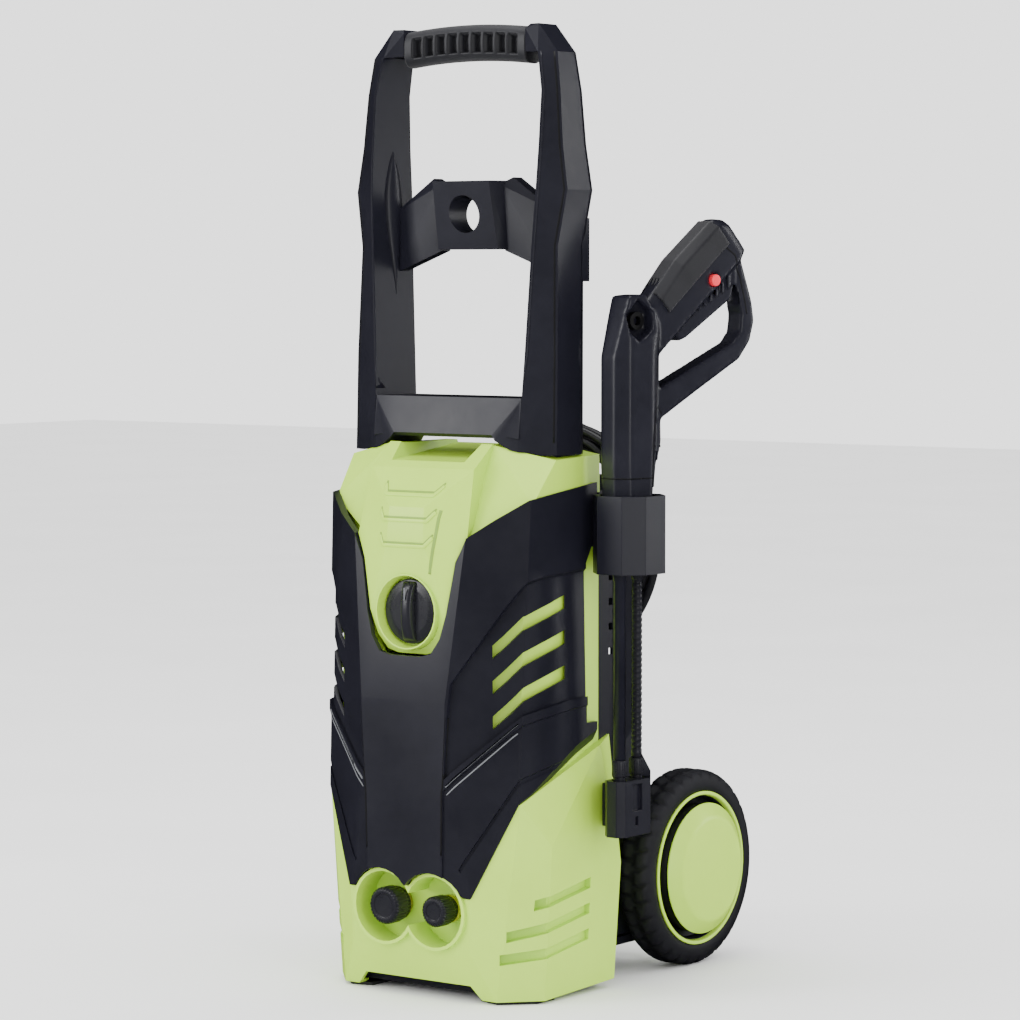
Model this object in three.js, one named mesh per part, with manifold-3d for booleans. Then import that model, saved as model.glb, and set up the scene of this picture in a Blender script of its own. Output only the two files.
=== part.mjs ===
// Upright electric pressure washer, millimetres, +Z up, front facing -Y.
// The model is drawn about the machine's mid-plane (x = 0) with y = 0 on the face of the hose
// sockets and z = 0 on the floor. The last lines move it so that its footprint is centred.
import * as THREE from 'three';
import { ConvexGeometry } from 'three/addons/geometries/ConvexGeometry.js';
import { mergeVertices } from 'three/addons/utils/BufferGeometryUtils.js';
import Module from 'manifold-3d';

const wasm = await Module();
wasm.setup();

// ---------------------------------------------------------------- driving dimensions
const gap = 0.3; // between pieces that touch
const runningGap = 0.5; // between pieces that slide or turn on each other
const wall = 3; // moulded shells

const halfWidth = 113; // base, at its front corners
const deckHeight = 475; // where the handle stands on the body
const handleRise = 375; // from the deck to the top of the grip
const seamY = 127; // plane between the front and rear shells
const rearY = 205; // back face of the rear shell
const baseRearY = 148; // back of the front housing's base

const wheelRadius = 89.5;
const tyreWidth = 34;
const tyreHeight = 20.5; // from the rim to the tread
const wheelOuterX = 118;
const axleY = 280;
const axleRadius = 6;

const footHeight = 3;
const socketX = 27.5;
const socketZ = 78.4;
const socketRadius = 31;
const socketDepth = 24;
const outletCapRadius = 16.5;
const inletCapRadius = 13.5;
const fittingRadius = 9.5;

const dialZ = 339;
const dialRadius = 28.5;
const dialRecessRadius = 31.5;
const dialRecessDepth = 9;
const dialShaftRadius = 4;

const holderStandoff = 37;
const holderX = halfWidth + holderStandoff; // gun and lances, from the mid-plane
const gunY = 118;
const gunSwing = THREE.MathUtils.degToRad(76); // gun plane, turned from +X towards +Y
const collarTop = 440;
const collarHeight = 68;
const collarWidth = 60;
const collarDepth = 56;
const gunPocketDepth = 34;
const barrelWidth = 46;
const barrelDepth = 38;
const pocketClearance = 1.5;

const lanceRadius = 5.3;
const lancePitch = 26;
const lanceTop = 380;
const lanceBottom = 178;
const lanceSocketDepth = 28;
const cupTop = 192;
const cupHeight = 49;
const cupPocketX = holderX + 8; // floor of the square pocket and keyhole in the cup's side

const motorRadius = 50;
const motorY = 128;
const motorBottom = 268;
const motorTop = 402;
const shaftRadius = 6;
const plungerCount = 3;
const plungerRadius = 6;
const plungerPitchRadius = 24;
const plungerLength = 44;

const cordRadius = 4;
const coilRadius = 112; // outside of the hanging coil
const coilBundle = 28; // square room of the wound turns
const coilZ = 388;
const coilY = 226;

// ---------------------------------------------------------------- colours
const finish = (color, roughness, metalness = 0) => ({ color, roughness, metalness });
const green = finish(0xa6cf45, 0.42);
const black = finish(0x1d1e26, 0.48);
const softBlack = finish(0x17181d, 0.72);
const rubber = finish(0x131416, 0.85);
const steel = finish(0xb9bcc2, 0.32, 1);
const brass = finish(0xc79a4b, 0.35, 1);
const alloy = finish(0x9a9ca2, 0.45, 0.9);
const grey = finish(0x5a5d63, 0.55);
const red = finish(0xe2333f, 0.4);

// ---------------------------------------------------------------- solids
function solid(geometry) {
  const bare = geometry.clone();
  bare.deleteAttribute('normal');
  bare.deleteAttribute('uv');
  const merged = mergeVertices(bare, 1e-4);
  const index = merged.index.array;
  const triangles = [];
  for (let i = 0; i < index.length; i += 3) {
    const [a, b, c] = [index[i], index[i + 1], index[i + 2]];
    if (a !== b && b !== c && c !== a) triangles.push(a, b, c);
  }
  return new wasm.Manifold(new wasm.Mesh({
    numProp: 3,
    vertProperties: Float32Array.from(merged.attributes.position.array),
    triVerts: Uint32Array.from(triangles),
  }));
}

const vector = ([x, y, z]) => new THREE.Vector3(x, y, z);
const join = (first, ...rest) => rest.reduce((sum, piece) => sum.add(piece), first);
const cut = (first, ...rest) => rest.reduce((left, piece) => left.subtract(piece), first);

function block(fromX, toX, fromY, toY, fromZ, toZ) {
  const box = new THREE.BoxGeometry(toX - fromX, toY - fromY, toZ - fromZ);
  return solid(box.translate((fromX + toX) / 2, (fromY + toY) / 2, (fromZ + toZ) / 2));
}

// A cylinder or cone from one level to another along an axis through (a, b).
function rod(axis, a, b, from, to, radius, endRadius = radius, sides = 16) {
  const geometry = new THREE.CylinderGeometry(endRadius, radius, to - from, sides);
  geometry.translate(0, (from + to) / 2, 0);
  if (axis === 'x') geometry.rotateZ(-Math.PI / 2).translate(0, a, b);
  if (axis === 'y') geometry.translate(a, 0, b);
  if (axis === 'z') geometry.rotateX(Math.PI / 2).translate(a, b, 0);
  return solid(geometry);
}

// A turned solid from [radius, level] pairs along an axis through (a, b).
function turned(axis, a, b, profile, sides = 24) {
  const geometry = new THREE.LatheGeometry(profile.map(([r, level]) => new THREE.Vector2(r, level)), sides);
  if (axis === 'x') geometry.rotateZ(-Math.PI / 2).translate(0, a, b);
  if (axis === 'y') geometry.translate(a, 0, b);
  if (axis === 'z') geometry.rotateX(Math.PI / 2).translate(a, b, 0);
  return solid(geometry);
}

const hull = (points) => solid(new ConvexGeometry(points.map(vector)));
const mirrored = (points) => points.flatMap(([x, y, z]) => [[x, y, z], [-x, y, z]]);
const eachSide = (make) => [-1, 1].map(make);

// Moves every point of a hull away from (or, with a minus sign, towards) its middle.
function grown(points, distance) {
  const box = new THREE.Box3().setFromPoints(points.map(vector));
  const middle = box.getCenter(new THREE.Vector3()).toArray();
  return points.map((point) => point.map((value, axis) => {
    const away = value - middle[axis];
    return Math.abs(away) < 1e-6 ? value : value + Math.sign(away) * distance;
  }));
}

// A flat outline pushed along the axis that is missing from the plane's name.
function plate(plane, outline, from, to, bevel = 0) {
  const shape = new THREE.Shape(outline.map(([a, b]) => new THREE.Vector2(a, b)));
  const options = {
    depth: to - from - 2 * bevel, bevelEnabled: bevel > 0, bevelSize: bevel, bevelOffset: -bevel,
    bevelThickness: bevel, bevelSegments: 1, curveSegments: 12,
  };
  const geometry = new THREE.ExtrudeGeometry(shape, options).translate(0, 0, bevel);
  if (plane === 'xy') geometry.translate(0, 0, from);
  if (plane === 'xz') geometry.rotateX(Math.PI / 2).translate(0, to, 0);
  if (plane === 'yz') {
    const turn = new THREE.Matrix4().makeBasis(vector([0, 1, 0]), vector([0, 0, 1]), vector([1, 0, 0]));
    geometry.applyMatrix4(turn).translate(from, 0, 0);
  }
  return solid(geometry);
}

// Everything on the far side, seen from the mid-plane's front, of the plane through three points.
function beyond(a, b, c, keep) {
  const plane = new THREE.Plane().setFromCoplanarPoints(vector(a), vector(b), vector(c));
  if (plane.distanceToPoint(vector(keep)) > 0) plane.negate();
  const size = 1200;
  const geometry = new THREE.BoxGeometry(size, size, size).translate(0, 0, size / 2);
  const turn = new THREE.Quaternion().setFromUnitVectors(vector([0, 0, 1]), plane.normal);
  geometry.applyQuaternion(turn).translate(...a);
  return solid(geometry);
}

// A slanted slot cutter of one height between two points, as deep as reach on both sides.
function slot(from, to, height, normal, depth = 9) {
  const reach = vector(normal).normalize().multiplyScalar(depth);
  const corners = [];
  for (const point of [from, to]) {
    for (const side of [-1, 1]) {
      for (const lift of [-height / 2, height / 2]) {
        const corner = vector(point).addScaledVector(reach, side);
        corners.push([corner.x, corner.y, corner.z + lift]);
      }
    }
  }
  return hull(corners);
}

// A box section with cut corners, centred on (x, y).
function facetedSection(x, y, width, depth, chamfer) {
  const a = width / 2;
  const b = depth / 2;
  const half = [[a, b - chamfer], [a - chamfer, b], [chamfer - a, b], [-a, b - chamfer]];
  const rest = half.map(([px, py]) => [-px, -py]);
  return [...half, ...rest].map(([px, py]) => [x + px, y + py]);
}

const ring = (axis, a, b, inner, outer, from, to, sides = 24) => turned(
  axis, a, b, [[inner, from], [outer, from], [outer, to], [inner, to], [inner, from]], sides,
);

// ---------------------------------------------------------------- scene graph
const machine = new THREE.Group();
const gun = new THREE.Group();
gun.position.set(holderX, gunY, 0);
gun.rotation.z = gunSwing;
machine.add(gun);

function add(name, piece, look, parent = machine) {
  const mesh = piece.getMesh();
  const geometry = new THREE.BufferGeometry();
  geometry.setAttribute('position', new THREE.BufferAttribute(Float32Array.from(mesh.vertProperties), 3));
  geometry.setIndex(Array.from(mesh.triVerts));
  geometry.computeVertexNormals();
  const node = new THREE.Mesh(geometry, new THREE.MeshStandardMaterial(look));
  node.name = name;
  parent.add(node);
}

// ---------------------------------------------------------------- body envelopes
const w = halfWidth;
const lowerEnvelope = mirrored([
  [w - 29, 14, footHeight], [w, 45, footHeight], [w + 3, baseRearY - 3, 8], [w - 43, baseRearY, 8],
  [w - 49, 1.5, 46], [w - 47, 0, 82], [w - 47, 0, 120], [w - 8, 20, 176], [w + 7, 46, 138],
  [w + 8, baseRearY, 112], [w + 5, 120, 219], [w - 1, baseRearY - 6, 226], [w - 53, 7, 178],
]);
const upperEnvelope = mirrored([
  [w - 59, 6, 120], [w - 59, 6, 300], [w - 14, 28, 176], [w - 14, 31, 320], [w - 14, 38, 422],
  [w - 57, 11, 396], [w - 7, 60, 190], [w - 7, 60, 431], [w - 3, 92, 190], [w - 3, 92, 438],
  [w - 2, seamY, 190], [w - 2, seamY, 438],
]);
const coverRearY = seamY - 8; // the cover stops short of the rear shell
const stripWidth = 17; // green strip of the housing that the cover leaves bare
const coverEnvelope = mirrored([
  [w - 75, -9, 100], [w - 45, -2.5, 92], [w - 67, -10, 262], [w - 52, 0, 405], [w - 3.5, 29, 438],
  [w - 5, 24, 320], [w - 7, 17, 176], [w + 2, coverRearY, 450], [w + 4.5, coverRearY, 320],
  [w + 5, coverRearY, 222],
  [w - 30, 10, 440], [w + 5, 90, 210],
]);
const shoulderEnvelope = mirrored([
  [56, 9, 405], [w - 5, 33, 433], [w - 0.5, 104, 440], [w - 0.5, seamY - gap, 441],
  [w - 1, 62, deckHeight - 4], [w - 1, seamY - gap, deckHeight - 1], [57, 47, deckHeight + 8],
  [57, seamY - gap, deckHeight + 8],
]);
const badgeOutline = [
  [57, deckHeight + 40], [56, 462], [60, 405], [50, 384], [42, 339], [36, 318], [27, 305], [15, 302],
];
const badgeEnvelope = mirrored([
  [57, 45, deckHeight + 9], [56, 19, 463], [60, 4, 405], [50, 0, 384], [42, -2, 339], [36, 1, 318],
  [27, 4, 305], [15, 4, 302], [20, -7, 399], [19, -4, 430],
  [57, 60, deckHeight + 5], [56, 32, 460], [58, 15, 405], [42, 13, 339], [36, 13, 318], [27, 13, 305],
  [15, 13, 302],
]);

// ---------------------------------------------------------------- front housing
// The handle's tongues reach down through the top panel into the housing.
const tongue = { fromX: w - 30, toX: w - 8, fromY: 74, toY: 100, depth: 42 };
const tongueBlock = (side, extra) => {
  const fromX = side > 0 ? tongue.fromX - extra : -tongue.toX - extra;
  const width = tongue.toX - tongue.fromX + 2 * extra;
  return block(
    fromX, fromX + width, tongue.fromY - extra, tongue.toY + extra,
    deckHeight - tongue.depth - extra, deckHeight + 14,
  );
};
const mirrorOutline = (half) => [...half, ...half.map(([x, z]) => [-x, z]).reverse()];
const badgeHole = (clearance) => plate('xz', mirrorOutline(
  badgeOutline.map(([x, z]) => [x + clearance, z - clearance]),
), -30, 60);
const trayHull = (extra, from, to) => hull(mirrored([from, to].flatMap((z) => [
  [w - 40 + extra, 25 - extra, z], [w - 10 + extra, 55 - extra, z], [w - 8 + extra, baseRearY - 8 + extra, z],
])));
const housingInside = join(
  hull(grown(lowerEnvelope, -wall)),
  hull(grown(upperEnvelope, -wall)),
  trayHull(gap, -1, 60),
  block(wall + 5 - w, w - wall - 5, 92, seamY + 2, 176, 434),
  block(16 - w, w - 16, 40, seamY - 20, 300, 445),
  block(16 - w, w - 16, 38, baseRearY + 40, 20, 205),
);
const skirtNotch = plate('xz', [[-72, -1], [-58, 15], [58, 15], [72, -1]], -5, 40);
const socketCut = (x, radius, from, to) => rod('y', x, socketZ, from, to, radius, radius, 28);
const socketWell = eachSide((side) => socketCut(side * socketX, socketRadius + wall, 3, socketDepth + wall));
const socketBore = eachSide((side) => socketCut(side * socketX, socketRadius, -5, socketDepth));
const socketRim = eachSide((side) => socketCut(side * socketX, socketRadius + wall, -3, 6));
const fittingHole = eachSide((side) => socketCut(side * socketX, fittingRadius + gap, 10, socketDepth + 10));

// Three louvres run round each front corner: a short stretch on the corner facet, a long one on
// the side.
const louvreHeight = 9.5;
const louvreDepth = 6;
const louvres = eachSide((side) => [[104, 87, 90, 99.5], [88, 60, 67.5, 77], [84, 40, 45, 54]].map(
  ([frontX, frontZ, bendZ, rearZ]) => {
    const front = [side * (w - 113 + frontX), frontX - 67, frontZ];
    const bend = [side * (w + 4), 46, bendZ];
    const rear = [side * (w + 6), 104, rearZ];
    return join(
      slot(front, bend, louvreHeight, [side, -0.95, 0], louvreDepth),
      slot(bend, rear, louvreHeight, [side, 0, 0], louvreDepth),
    );
  },
)).flat();

const louvreBacking = eachSide((side) => hull([30, 112].flatMap((z) => [
  [side * (w - 11), 60, z], [side * (w - 11), 112, z], [side * (w + 20), 112, z], [side * (w + 20), 30, z],
  [side * (w - 38), 10, z], [side * (w - 38), 28, z],
])));
const housingShell = cut(
  join(hull(lowerEnvelope), hull(upperEnvelope)),
  cut(housingInside, ...socketWell, ...louvreBacking),
  skirtNotch,
  badgeHole(5),
  block(-w - 20, w + 20, seamY, 400, 227, 500),
  block(-70, 70, seamY - 1, 400, 27, 227),
  block(-70, 70, baseRearY - 14, 400, -1, 40),
  ...eachSide((side) => tongueBlock(side, 1)),
);
add('front_housing', cut(
  join(housingShell, ...socketRim),
  ...socketBore,
  ...fittingHole,
  ...louvres,
), green);

// ---------------------------------------------------------------- top panel and badge
const trayCut = hull(mirrored([
  [39.6, 20.5, 468], [44, 130, deckHeight + 6], [52, 8, deckHeight + 40], [55, 130, deckHeight + 40],
]));
const dialRecess = join(
  rod('y', 0, dialZ, -12, dialRecessDepth - 2, dialRecessRadius + 1, dialRecessRadius - 1.5, 28),
  rod('y', 0, dialZ, 0, 30, dialShaftRadius + runningGap),
);
const dialBezel = rod('y', 0, dialZ, -6, 4, dialRecessRadius + 1.4, dialRecessRadius + 2.6, 28);
const screwZ = deckHeight - 17;
const screwX = w - 19;
const screwRadius = 1.9;
const screwHole = (side, from) => rod(
  'y', side * screwX, screwZ, from, seamY + 15, screwRadius + gap, screwRadius + gap, 12,
);
const panelInside = cut(
  hull(grown(shoulderEnvelope, -wall - 1)),
  block(-300, 300, -50, 46, 380, 500),
  block(-60, 60, 40, 200, 460, 500),
);
const dialBoss = rod('y', 0, dialZ, 2, 13, dialRecessRadius + 1.5, dialRecessRadius + 1.5, 28);
const badgePocket = plate('yz', [
  [13, 290], [60, 290], [90, 462], [44, 462], [24, 430], [14, 405],
], -61, 61);
const panelBody = cut(
  join(hull(shoulderEnvelope), hull(badgeEnvelope).intersect(badgeHole(0))),
  badgePocket,
  panelInside,
  hull(grown(upperEnvelope, gap)).subtract(badgeHole(5 - gap)),
  trayCut,
);
add('top_panel', cut(
  join(panelBody, dialBezel, dialBoss),
  dialRecess,
  ...eachSide((side) => tongueBlock(side, gap)),
  ...eachSide((side) => screwHole(side, 90)),
), green);

// ---------------------------------------------------------------- front cover
const ventHeight = 12;
const vents = eachSide((side) => [0, 1, 2].map((row) => {
  const z = 246 + 30.5 * row;
  const front = [side * (w - 31), 11, z];
  const bend = [side * (w - 6), 23, z + 25];
  const rear = [side * (w + 3), 72, z + 41];
  const outward = [side * 0.8, -0.6, 0];
  return join(slot(front, bend, ventHeight, outward), slot(bend, rear, ventHeight, outward));
})).flat();
const coverMiddle = [0, 0, 260];
const halfSpace = (side) => block(side < 0 ? -300 : 0, side < 0 ? 0 : 300, -300, 600, -300, 1200);
const coverEdge = (side) => halfSpace(side).intersect(beyond(
  [side * (w - 45), 0, 95], [side * (w - 8), 20, 175], [side * (w - 2), 118, 222], coverMiddle,
));
const wingEdge = (side) => halfSpace(side).intersect(beyond(
  [side * (w - 52), 4, 405], [side * (w - 5), 31, 438], [side * w, 106, 448], coverMiddle,
));
// The cover's outer skin down to one depth, used to sink fields of its surface.
const coverSkin = (depth) => cut(hull(grown(coverEnvelope, 5)), hull(grown(coverEnvelope, -depth)));
const sideOutline = (side, outline) => {
  const points = outline.map(([x, z]) => [side * x, z]);
  return side > 0 ? points : points.reverse();
};
const field = (outline, depth) => eachSide((side) => plate(
  'xz', sideOutline(side, outline), -40, 140,
).intersect(coverSkin(depth)));
const ventField = [
  [w - 63, 279], [w - 66, 247], [w - 69, 196], [w - 9, 250], [w + 27, 286], [w + 27, 402], [w - 9, 363],
];
const flankField = [[w - 70, 186], [w - 72, 90], [w + 27, 90], [w + 27, 278], [w - 9, 242]];
const accentLine = [[w - 67, 189.5], [w - 9, 245.2], [w - 9, 247], [w - 67.6, 191.2]];
const bottomBand = [
  [w - 57, 118], [w - 9, 197], [w + 27, 245], [w + 27, 241], [w - 7.5, 194], [w - 55, 115.5],
];
// Behind each vent field the cover stops short, and the housing shows as a strip.
const bareStrip = eachSide((side) => plate('yz', [
  [coverRearY - stripWidth, 240], [coverRearY + 30, 240], [coverRearY + 30, 394],
  [coverRearY - stripWidth + 8, 394], [coverRearY - stripWidth, 380],
], side > 0 ? w - 12 : -w - 12, side > 0 ? w + 12 : 12 - w));
const coverCutters = [
  ...bareStrip,
  ...field(ventField, 2.6),
  ...field(flankField, 1.2),
  ...field(accentLine, 1.6),
  ...field(bottomBand, 2.2),
  hull(grown(coverEnvelope, -wall - 1.8)),
  hull(grown(lowerEnvelope, gap)),
  hull(grown(upperEnvelope, 1.2)),
  hull(grown(shoulderEnvelope, gap)),
  badgeHole(1.2),
  block(-300, 300, -50, 300, 0, 92),
  ...eachSide((side) => socketCut(side * socketX, socketRadius + wall + 0.8, -60, 60)),
  ...vents,
];
add('front_cover', cut(
  hull(coverEnvelope),
  ...eachSide(coverEdge),
  ...eachSide(wingEdge),
  ...coverCutters,
), black);

// ---------------------------------------------------------------- rear housing
const rearEnvelope = mirrored([
  [w - 2, seamY + gap, 204], [w - 2, seamY + gap, 441], [w - 3, 150, 204], [w - 3, 150, 446],
  [w - 15, rearY, 226], [w - 15, rearY, 430], [w - 24, rearY - 8, 452], [w - 24, 140, 452],
]);
const tailHalfWidth = 78;
const tailEnvelope = mirrored([
  [tailHalfWidth, 151, 34], [tailHalfWidth, 151, 236], [tailHalfWidth, rearY + 4, 236],
  [tailHalfWidth, rearY + 52, 178], [tailHalfWidth, rearY + 52, 60], [tailHalfWidth, rearY + 20, 34],
]);
const rearInside = join(
  hull(grown(rearEnvelope, -wall)),
  block(wall + 2 - w, w - wall - 2, seamY - 5, 148, 209, 438),
  hull(grown(tailEnvelope, -wall)),
  block(wall - tailHalfWidth, tailHalfWidth - wall, 130, 240, 42, 228),
  block(wall - tailHalfWidth, tailHalfWidth - wall, 151, 235, 20, 60),
);
const airSlots = [-2, -1, 0, 1, 2, 3, 4].map((row) => block(
  row * 15 + 6, row * 15 + 14, rearY - 10, rearY + 10, 262, 300,
));
const sideNotches = eachSide((side) => [0, 1, 2, 3].map((row) => block(
  side > 0 ? w - 6 : -w - 6, side > 0 ? w + 6 : 6 - w, 144, 150, 296 + row * 22, 302 + row * 22,
))).flat();
const glandX = -40;
const glandZ = 252;
const glandBore = 6.5;
add('rear_housing', cut(
  join(hull(rearEnvelope), hull(tailEnvelope)),
  rearInside,
  hull(grown(lowerEnvelope, gap)).subtract(block(-300, 300, 151 - gap, 400, 0, 300)),
  ...airSlots,
  ...sideNotches,
  rod('y', glandX, glandZ, rearY - 20, rearY + 20, glandBore, glandBore, 20),
), black);

// ---------------------------------------------------------------- chassis, feet and wheels
const bearingHalf = 9;
const bearingX = 64;
const trayBottom = footHeight + wall + gap;
const trayTop = trayBottom + 6;
const rearTrayZ = 24;
const bearing = eachSide((side) => join(
  hull([side * (bearingX - bearingHalf), side * (bearingX + bearingHalf)].flatMap((x) => [
    [x, rearY + 54, rearTrayZ], [x, axleY + 16, rearTrayZ + 26], [x, axleY + 14, wheelRadius + 14],
    [x, axleY - 13, wheelRadius + 14], [x, axleY + 4, rearTrayZ],
  ])),
));
add('chassis', cut(
  join(
    trayHull(0, trayBottom, trayTop),
    block(-66, 66, baseRearY - 12, baseRearY + 1, trayBottom, rearTrayZ + 7),
    block(-76, 76, baseRearY - 4, 262, rearTrayZ, rearTrayZ + 7),
    ...bearing,
  ),
  rod('x', axleY, wheelRadius, -w, w, axleRadius + gap, axleRadius + gap, 20),
), black);

for (const [side, label] of [[-1, 'left'], [1, 'right']]) {
  const footPoints = [[w - 52, 22], [w - 31, 17], [w - 5, 43], [w - 5, 66], [w - 52, 66]];
  add(`front_foot_${label}`, hull(footPoints.flatMap(([x, y]) => [
    [side * (x - 1), y + 1, 0], [side * x, y, footHeight - gap],
  ])), rubber);
}

const wheelInnerX = wheelOuterX - tyreWidth;
const hubRadius = 15;
const rimRadius = wheelRadius - tyreHeight;
const discX = wheelInnerX + 14;
add('axle', rod('x', axleY, wheelRadius, -(wheelOuterX - 9), wheelOuterX - 9, axleRadius), steel);
for (const [side, label] of [[-1, 'left'], [1, 'right']]) {
  const level = (profile) => (side > 0 ? profile : profile.map(([r, x]) => [r, -x]).reverse());
  const wheelTurned = (profile, sides) => turned('x', axleY, wheelRadius, level(profile), sides);
  add(`tyre_${label}`, wheelTurned([
    [rimRadius + gap, wheelInnerX + 2], [wheelRadius - 8, wheelInnerX], [wheelRadius - 1.5, wheelInnerX + 5],
    [wheelRadius, wheelInnerX + 10], [wheelRadius, wheelOuterX - 10], [wheelRadius - 1.5, wheelOuterX - 5],
    [wheelRadius - 8, wheelOuterX], [rimRadius + gap, wheelOuterX - 2], [rimRadius + gap, wheelInnerX + 2],
  ], 28), rubber);
  add(`rim_${label}`, wheelTurned([
    [axleRadius + runningGap, wheelInnerX - 2], [hubRadius, wheelInnerX - 2], [hubRadius, discX],
    [rimRadius - 5, discX], [rimRadius - 4, wheelInnerX + 3], [rimRadius, wheelInnerX + 3],
    [rimRadius, wheelOuterX - 1], [rimRadius - 4, wheelOuterX + 0.5], [rimRadius - 6, discX + 6],
    [hubRadius, discX + 6], [hubRadius, discX + 8], [axleRadius + runningGap, discX + 8],
    [axleRadius + runningGap, wheelInnerX - 2],
  ], 28), green);
  add(`hub_cap_${label}`, wheelTurned([
    [0, discX + 13.5], [20, discX + 13.5], [20, discX + 6 + gap], [rimRadius - 12, discX + 6 + gap],
    [rimRadius - 9.5, wheelOuterX], [rimRadius - 10, wheelOuterX + 2.5], [rimRadius - 19, wheelOuterX + 10.5],
    [rimRadius - 25, wheelOuterX + 13], [0, wheelOuterX + 14],
  ], 28), green);
  add(`axle_clip_${label}`, wheelTurned([
    [axleRadius + gap, discX + 8 + gap], [axleRadius + 5, discX + 8 + gap], [axleRadius + 5, discX + 10],
    [axleRadius + gap, discX + 10], [axleRadius + gap, discX + 8 + gap],
  ], 16), steel);
}

// ---------------------------------------------------------------- handle
// Each leg is a run of sections: height, outer and inner half-widths, front faces and back face.
const handleBase = deckHeight;
const handleTop = deckHeight + handleRise;
const legSections = [
  [0, w - 2, 64.6, 79, 51, 106], [86, w - 2.5, 66.5, 82, 57, 108], [180, w - 5, 70, 87, 60, 110],
  [229, w + 3, 73, 90, 62, 113], [268, w - 3, 74.5, 91, 65, 112], [315, w - 7, 76.5, 91, 69, 111],
  [348, w - 12, 79, 85, 72, 109],
].map(([rise, outer, frontOuter, inner, frontInner, back]) => (side) => {
  const z = handleBase + rise * (handleRise / 375);
  const backInner = inner - 5;
  return [
    [side * outer, frontOuter, z], [side * inner, frontInner, z], [side * backInner, back, z],
    [side * (outer - 2), back, z], [side * outer, back - 6, z],
  ];
});
const leg = (side) => legSections.slice(1).map(
  (section, i) => hull([...legSections[i](side), ...section(side)]),
);
const shoulderBoss = (side) => hull([
  ...legSections[legSections.length - 1](side),
  [side * 70, 82, handleTop - 2], [side * 70, 104, handleTop - 2], [side * 67, 78, handleTop - 6],
  [side * 67, 78, handleTop - 26], [side * 67, 107, handleTop - 26], [side * 80, 80, handleTop - 2],
  [side * 80, 106, handleTop - 2],
]);
const crossbar = hull(mirrored([
  [80, 55, handleBase + 49], [80, 51, handleBase + 14],
  [80, 104, handleBase + 49], [80, 100, handleBase + 14],
  [54, 46.5, handleBase + 17], [54, 54, handleBase + 49], [54, 96, handleBase + 17],
]));
const legFoot = (side) => hull([
  ...legSections[0](side), [side * 58, 46, handleBase + 12], [side * 54, 46.5, handleBase + 17],
  [side * 78, 54, handleBase + 44], [side * 78, 100, handleBase + 44], [side * 58, 98, handleBase + 15],
]);
const tongues = eachSide((side) => tongueBlock(side, 0));
const rearStep = eachSide((side) => block(
  side > 0 ? 92 : -108, side > 0 ? 108 : -92, 106, 117, handleBase + 150, handleBase + 205,
));
const seat = 0.6; // the handle's own seam over the body
add('handle_frame', cut(
  join(
    cut(join(crossbar, ...eachSide(leg).flat(), ...eachSide(legFoot)), hull(grown(shoulderEnvelope, seat))
      .subtract(trayCut)),
    ...eachSide(shoulderBoss),
    ...rearStep,
    ...tongues,
  ),
  ...eachSide((side) => screwHole(side, tongue.fromY + 8)),
), black);

const gripHalf = 66.4;
const gripArc = [-1, -0.5, 0, 0.5, 1].map((t) => ({ x: t * gripHalf, lift: 4 * (1 - t * t) }));
const gripRun = gripArc.slice(1).map((end, i) => hull([gripArc[i], end].flatMap(({ x, lift }) => [
  [x, 84, handleTop - 4 + lift], [x, 98, handleTop - 4 + lift], [x, 104, handleTop - 12 + lift],
  [x, 104, handleTop - 28 + lift], [x, 98, handleTop - 36 + lift], [x, 84, handleTop - 36 + lift],
  [x, 78, handleTop - 28 + lift], [x, 78, handleTop - 12 + lift],
])));
const cellCount = 9;
const cellPitch = 13.2;
const cells = Array.from({ length: cellCount }, (_, i) => {
  const x = (i - (cellCount - 1) / 2) * cellPitch;
  const lift = 4 * (1 - (x / gripHalf) ** 2);
  return block(x - 5.2, x + 5.2, 70, 96, handleTop - 29 + lift, handleTop - 12 + lift);
});
add('grip_bar', cut(join(...gripRun), ...cells), softBlack);

const braceHalf = 33;
const braceReach = w - 25; // its wings run into the legs
const braceHole = 16.5;
const braceZ = handleBase + 205;
const braceFrontY = 75;
const braceWing = (side) => hull([
  [side * braceHalf, 86, braceZ + 30], [side * 44, 92, braceZ + 36], [side * braceReach, 92, braceZ + 6],
  [side * braceReach, 92, braceZ - 48], [side * (braceHalf + 2), 92, braceZ - 28],
  [side * braceHalf, 104, braceZ + 30], [side * 44, 104, braceZ + 36], [side * braceReach, 104, braceZ + 6],
  [side * braceReach, 104, braceZ - 48], [side * (braceHalf + 2), 104, braceZ - 28],
]);
const braceBlock = hull(mirrored([
  [braceHalf - 2, braceFrontY - 2, braceZ + 33], [braceHalf, braceFrontY + 9, braceZ - 27],
  [braceHalf, 104, braceZ + 33], [braceHalf + 2, 104, braceZ - 27], [braceHalf + 6, 90, braceZ + 33],
  [braceHalf + 6, 93, braceZ - 27],
]));
const legRoom = eachSide((side) => leg(side).map((piece) => piece.translate([-side * gap, 0, 0]))).flat();
add('cross_brace', cut(
  join(braceBlock, ...eachSide(braceWing)),
  rod('y', 0, braceZ + 4, 40, 140, braceHole, braceHole, 32),
  ...legRoom,
), black);

for (const [side, label] of [[-1, 'left'], [1, 'right']]) {
  add(`handle_screw_${label}`, join(
    rod('y', side * screwX, screwZ, seamY + 0.2, seamY + 2.4, 4.2, 3.4, 16),
    rod('y', side * screwX, screwZ, tongue.fromY + 10, seamY + 1, screwRadius, screwRadius, 12),
  ), steel);
}

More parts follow.
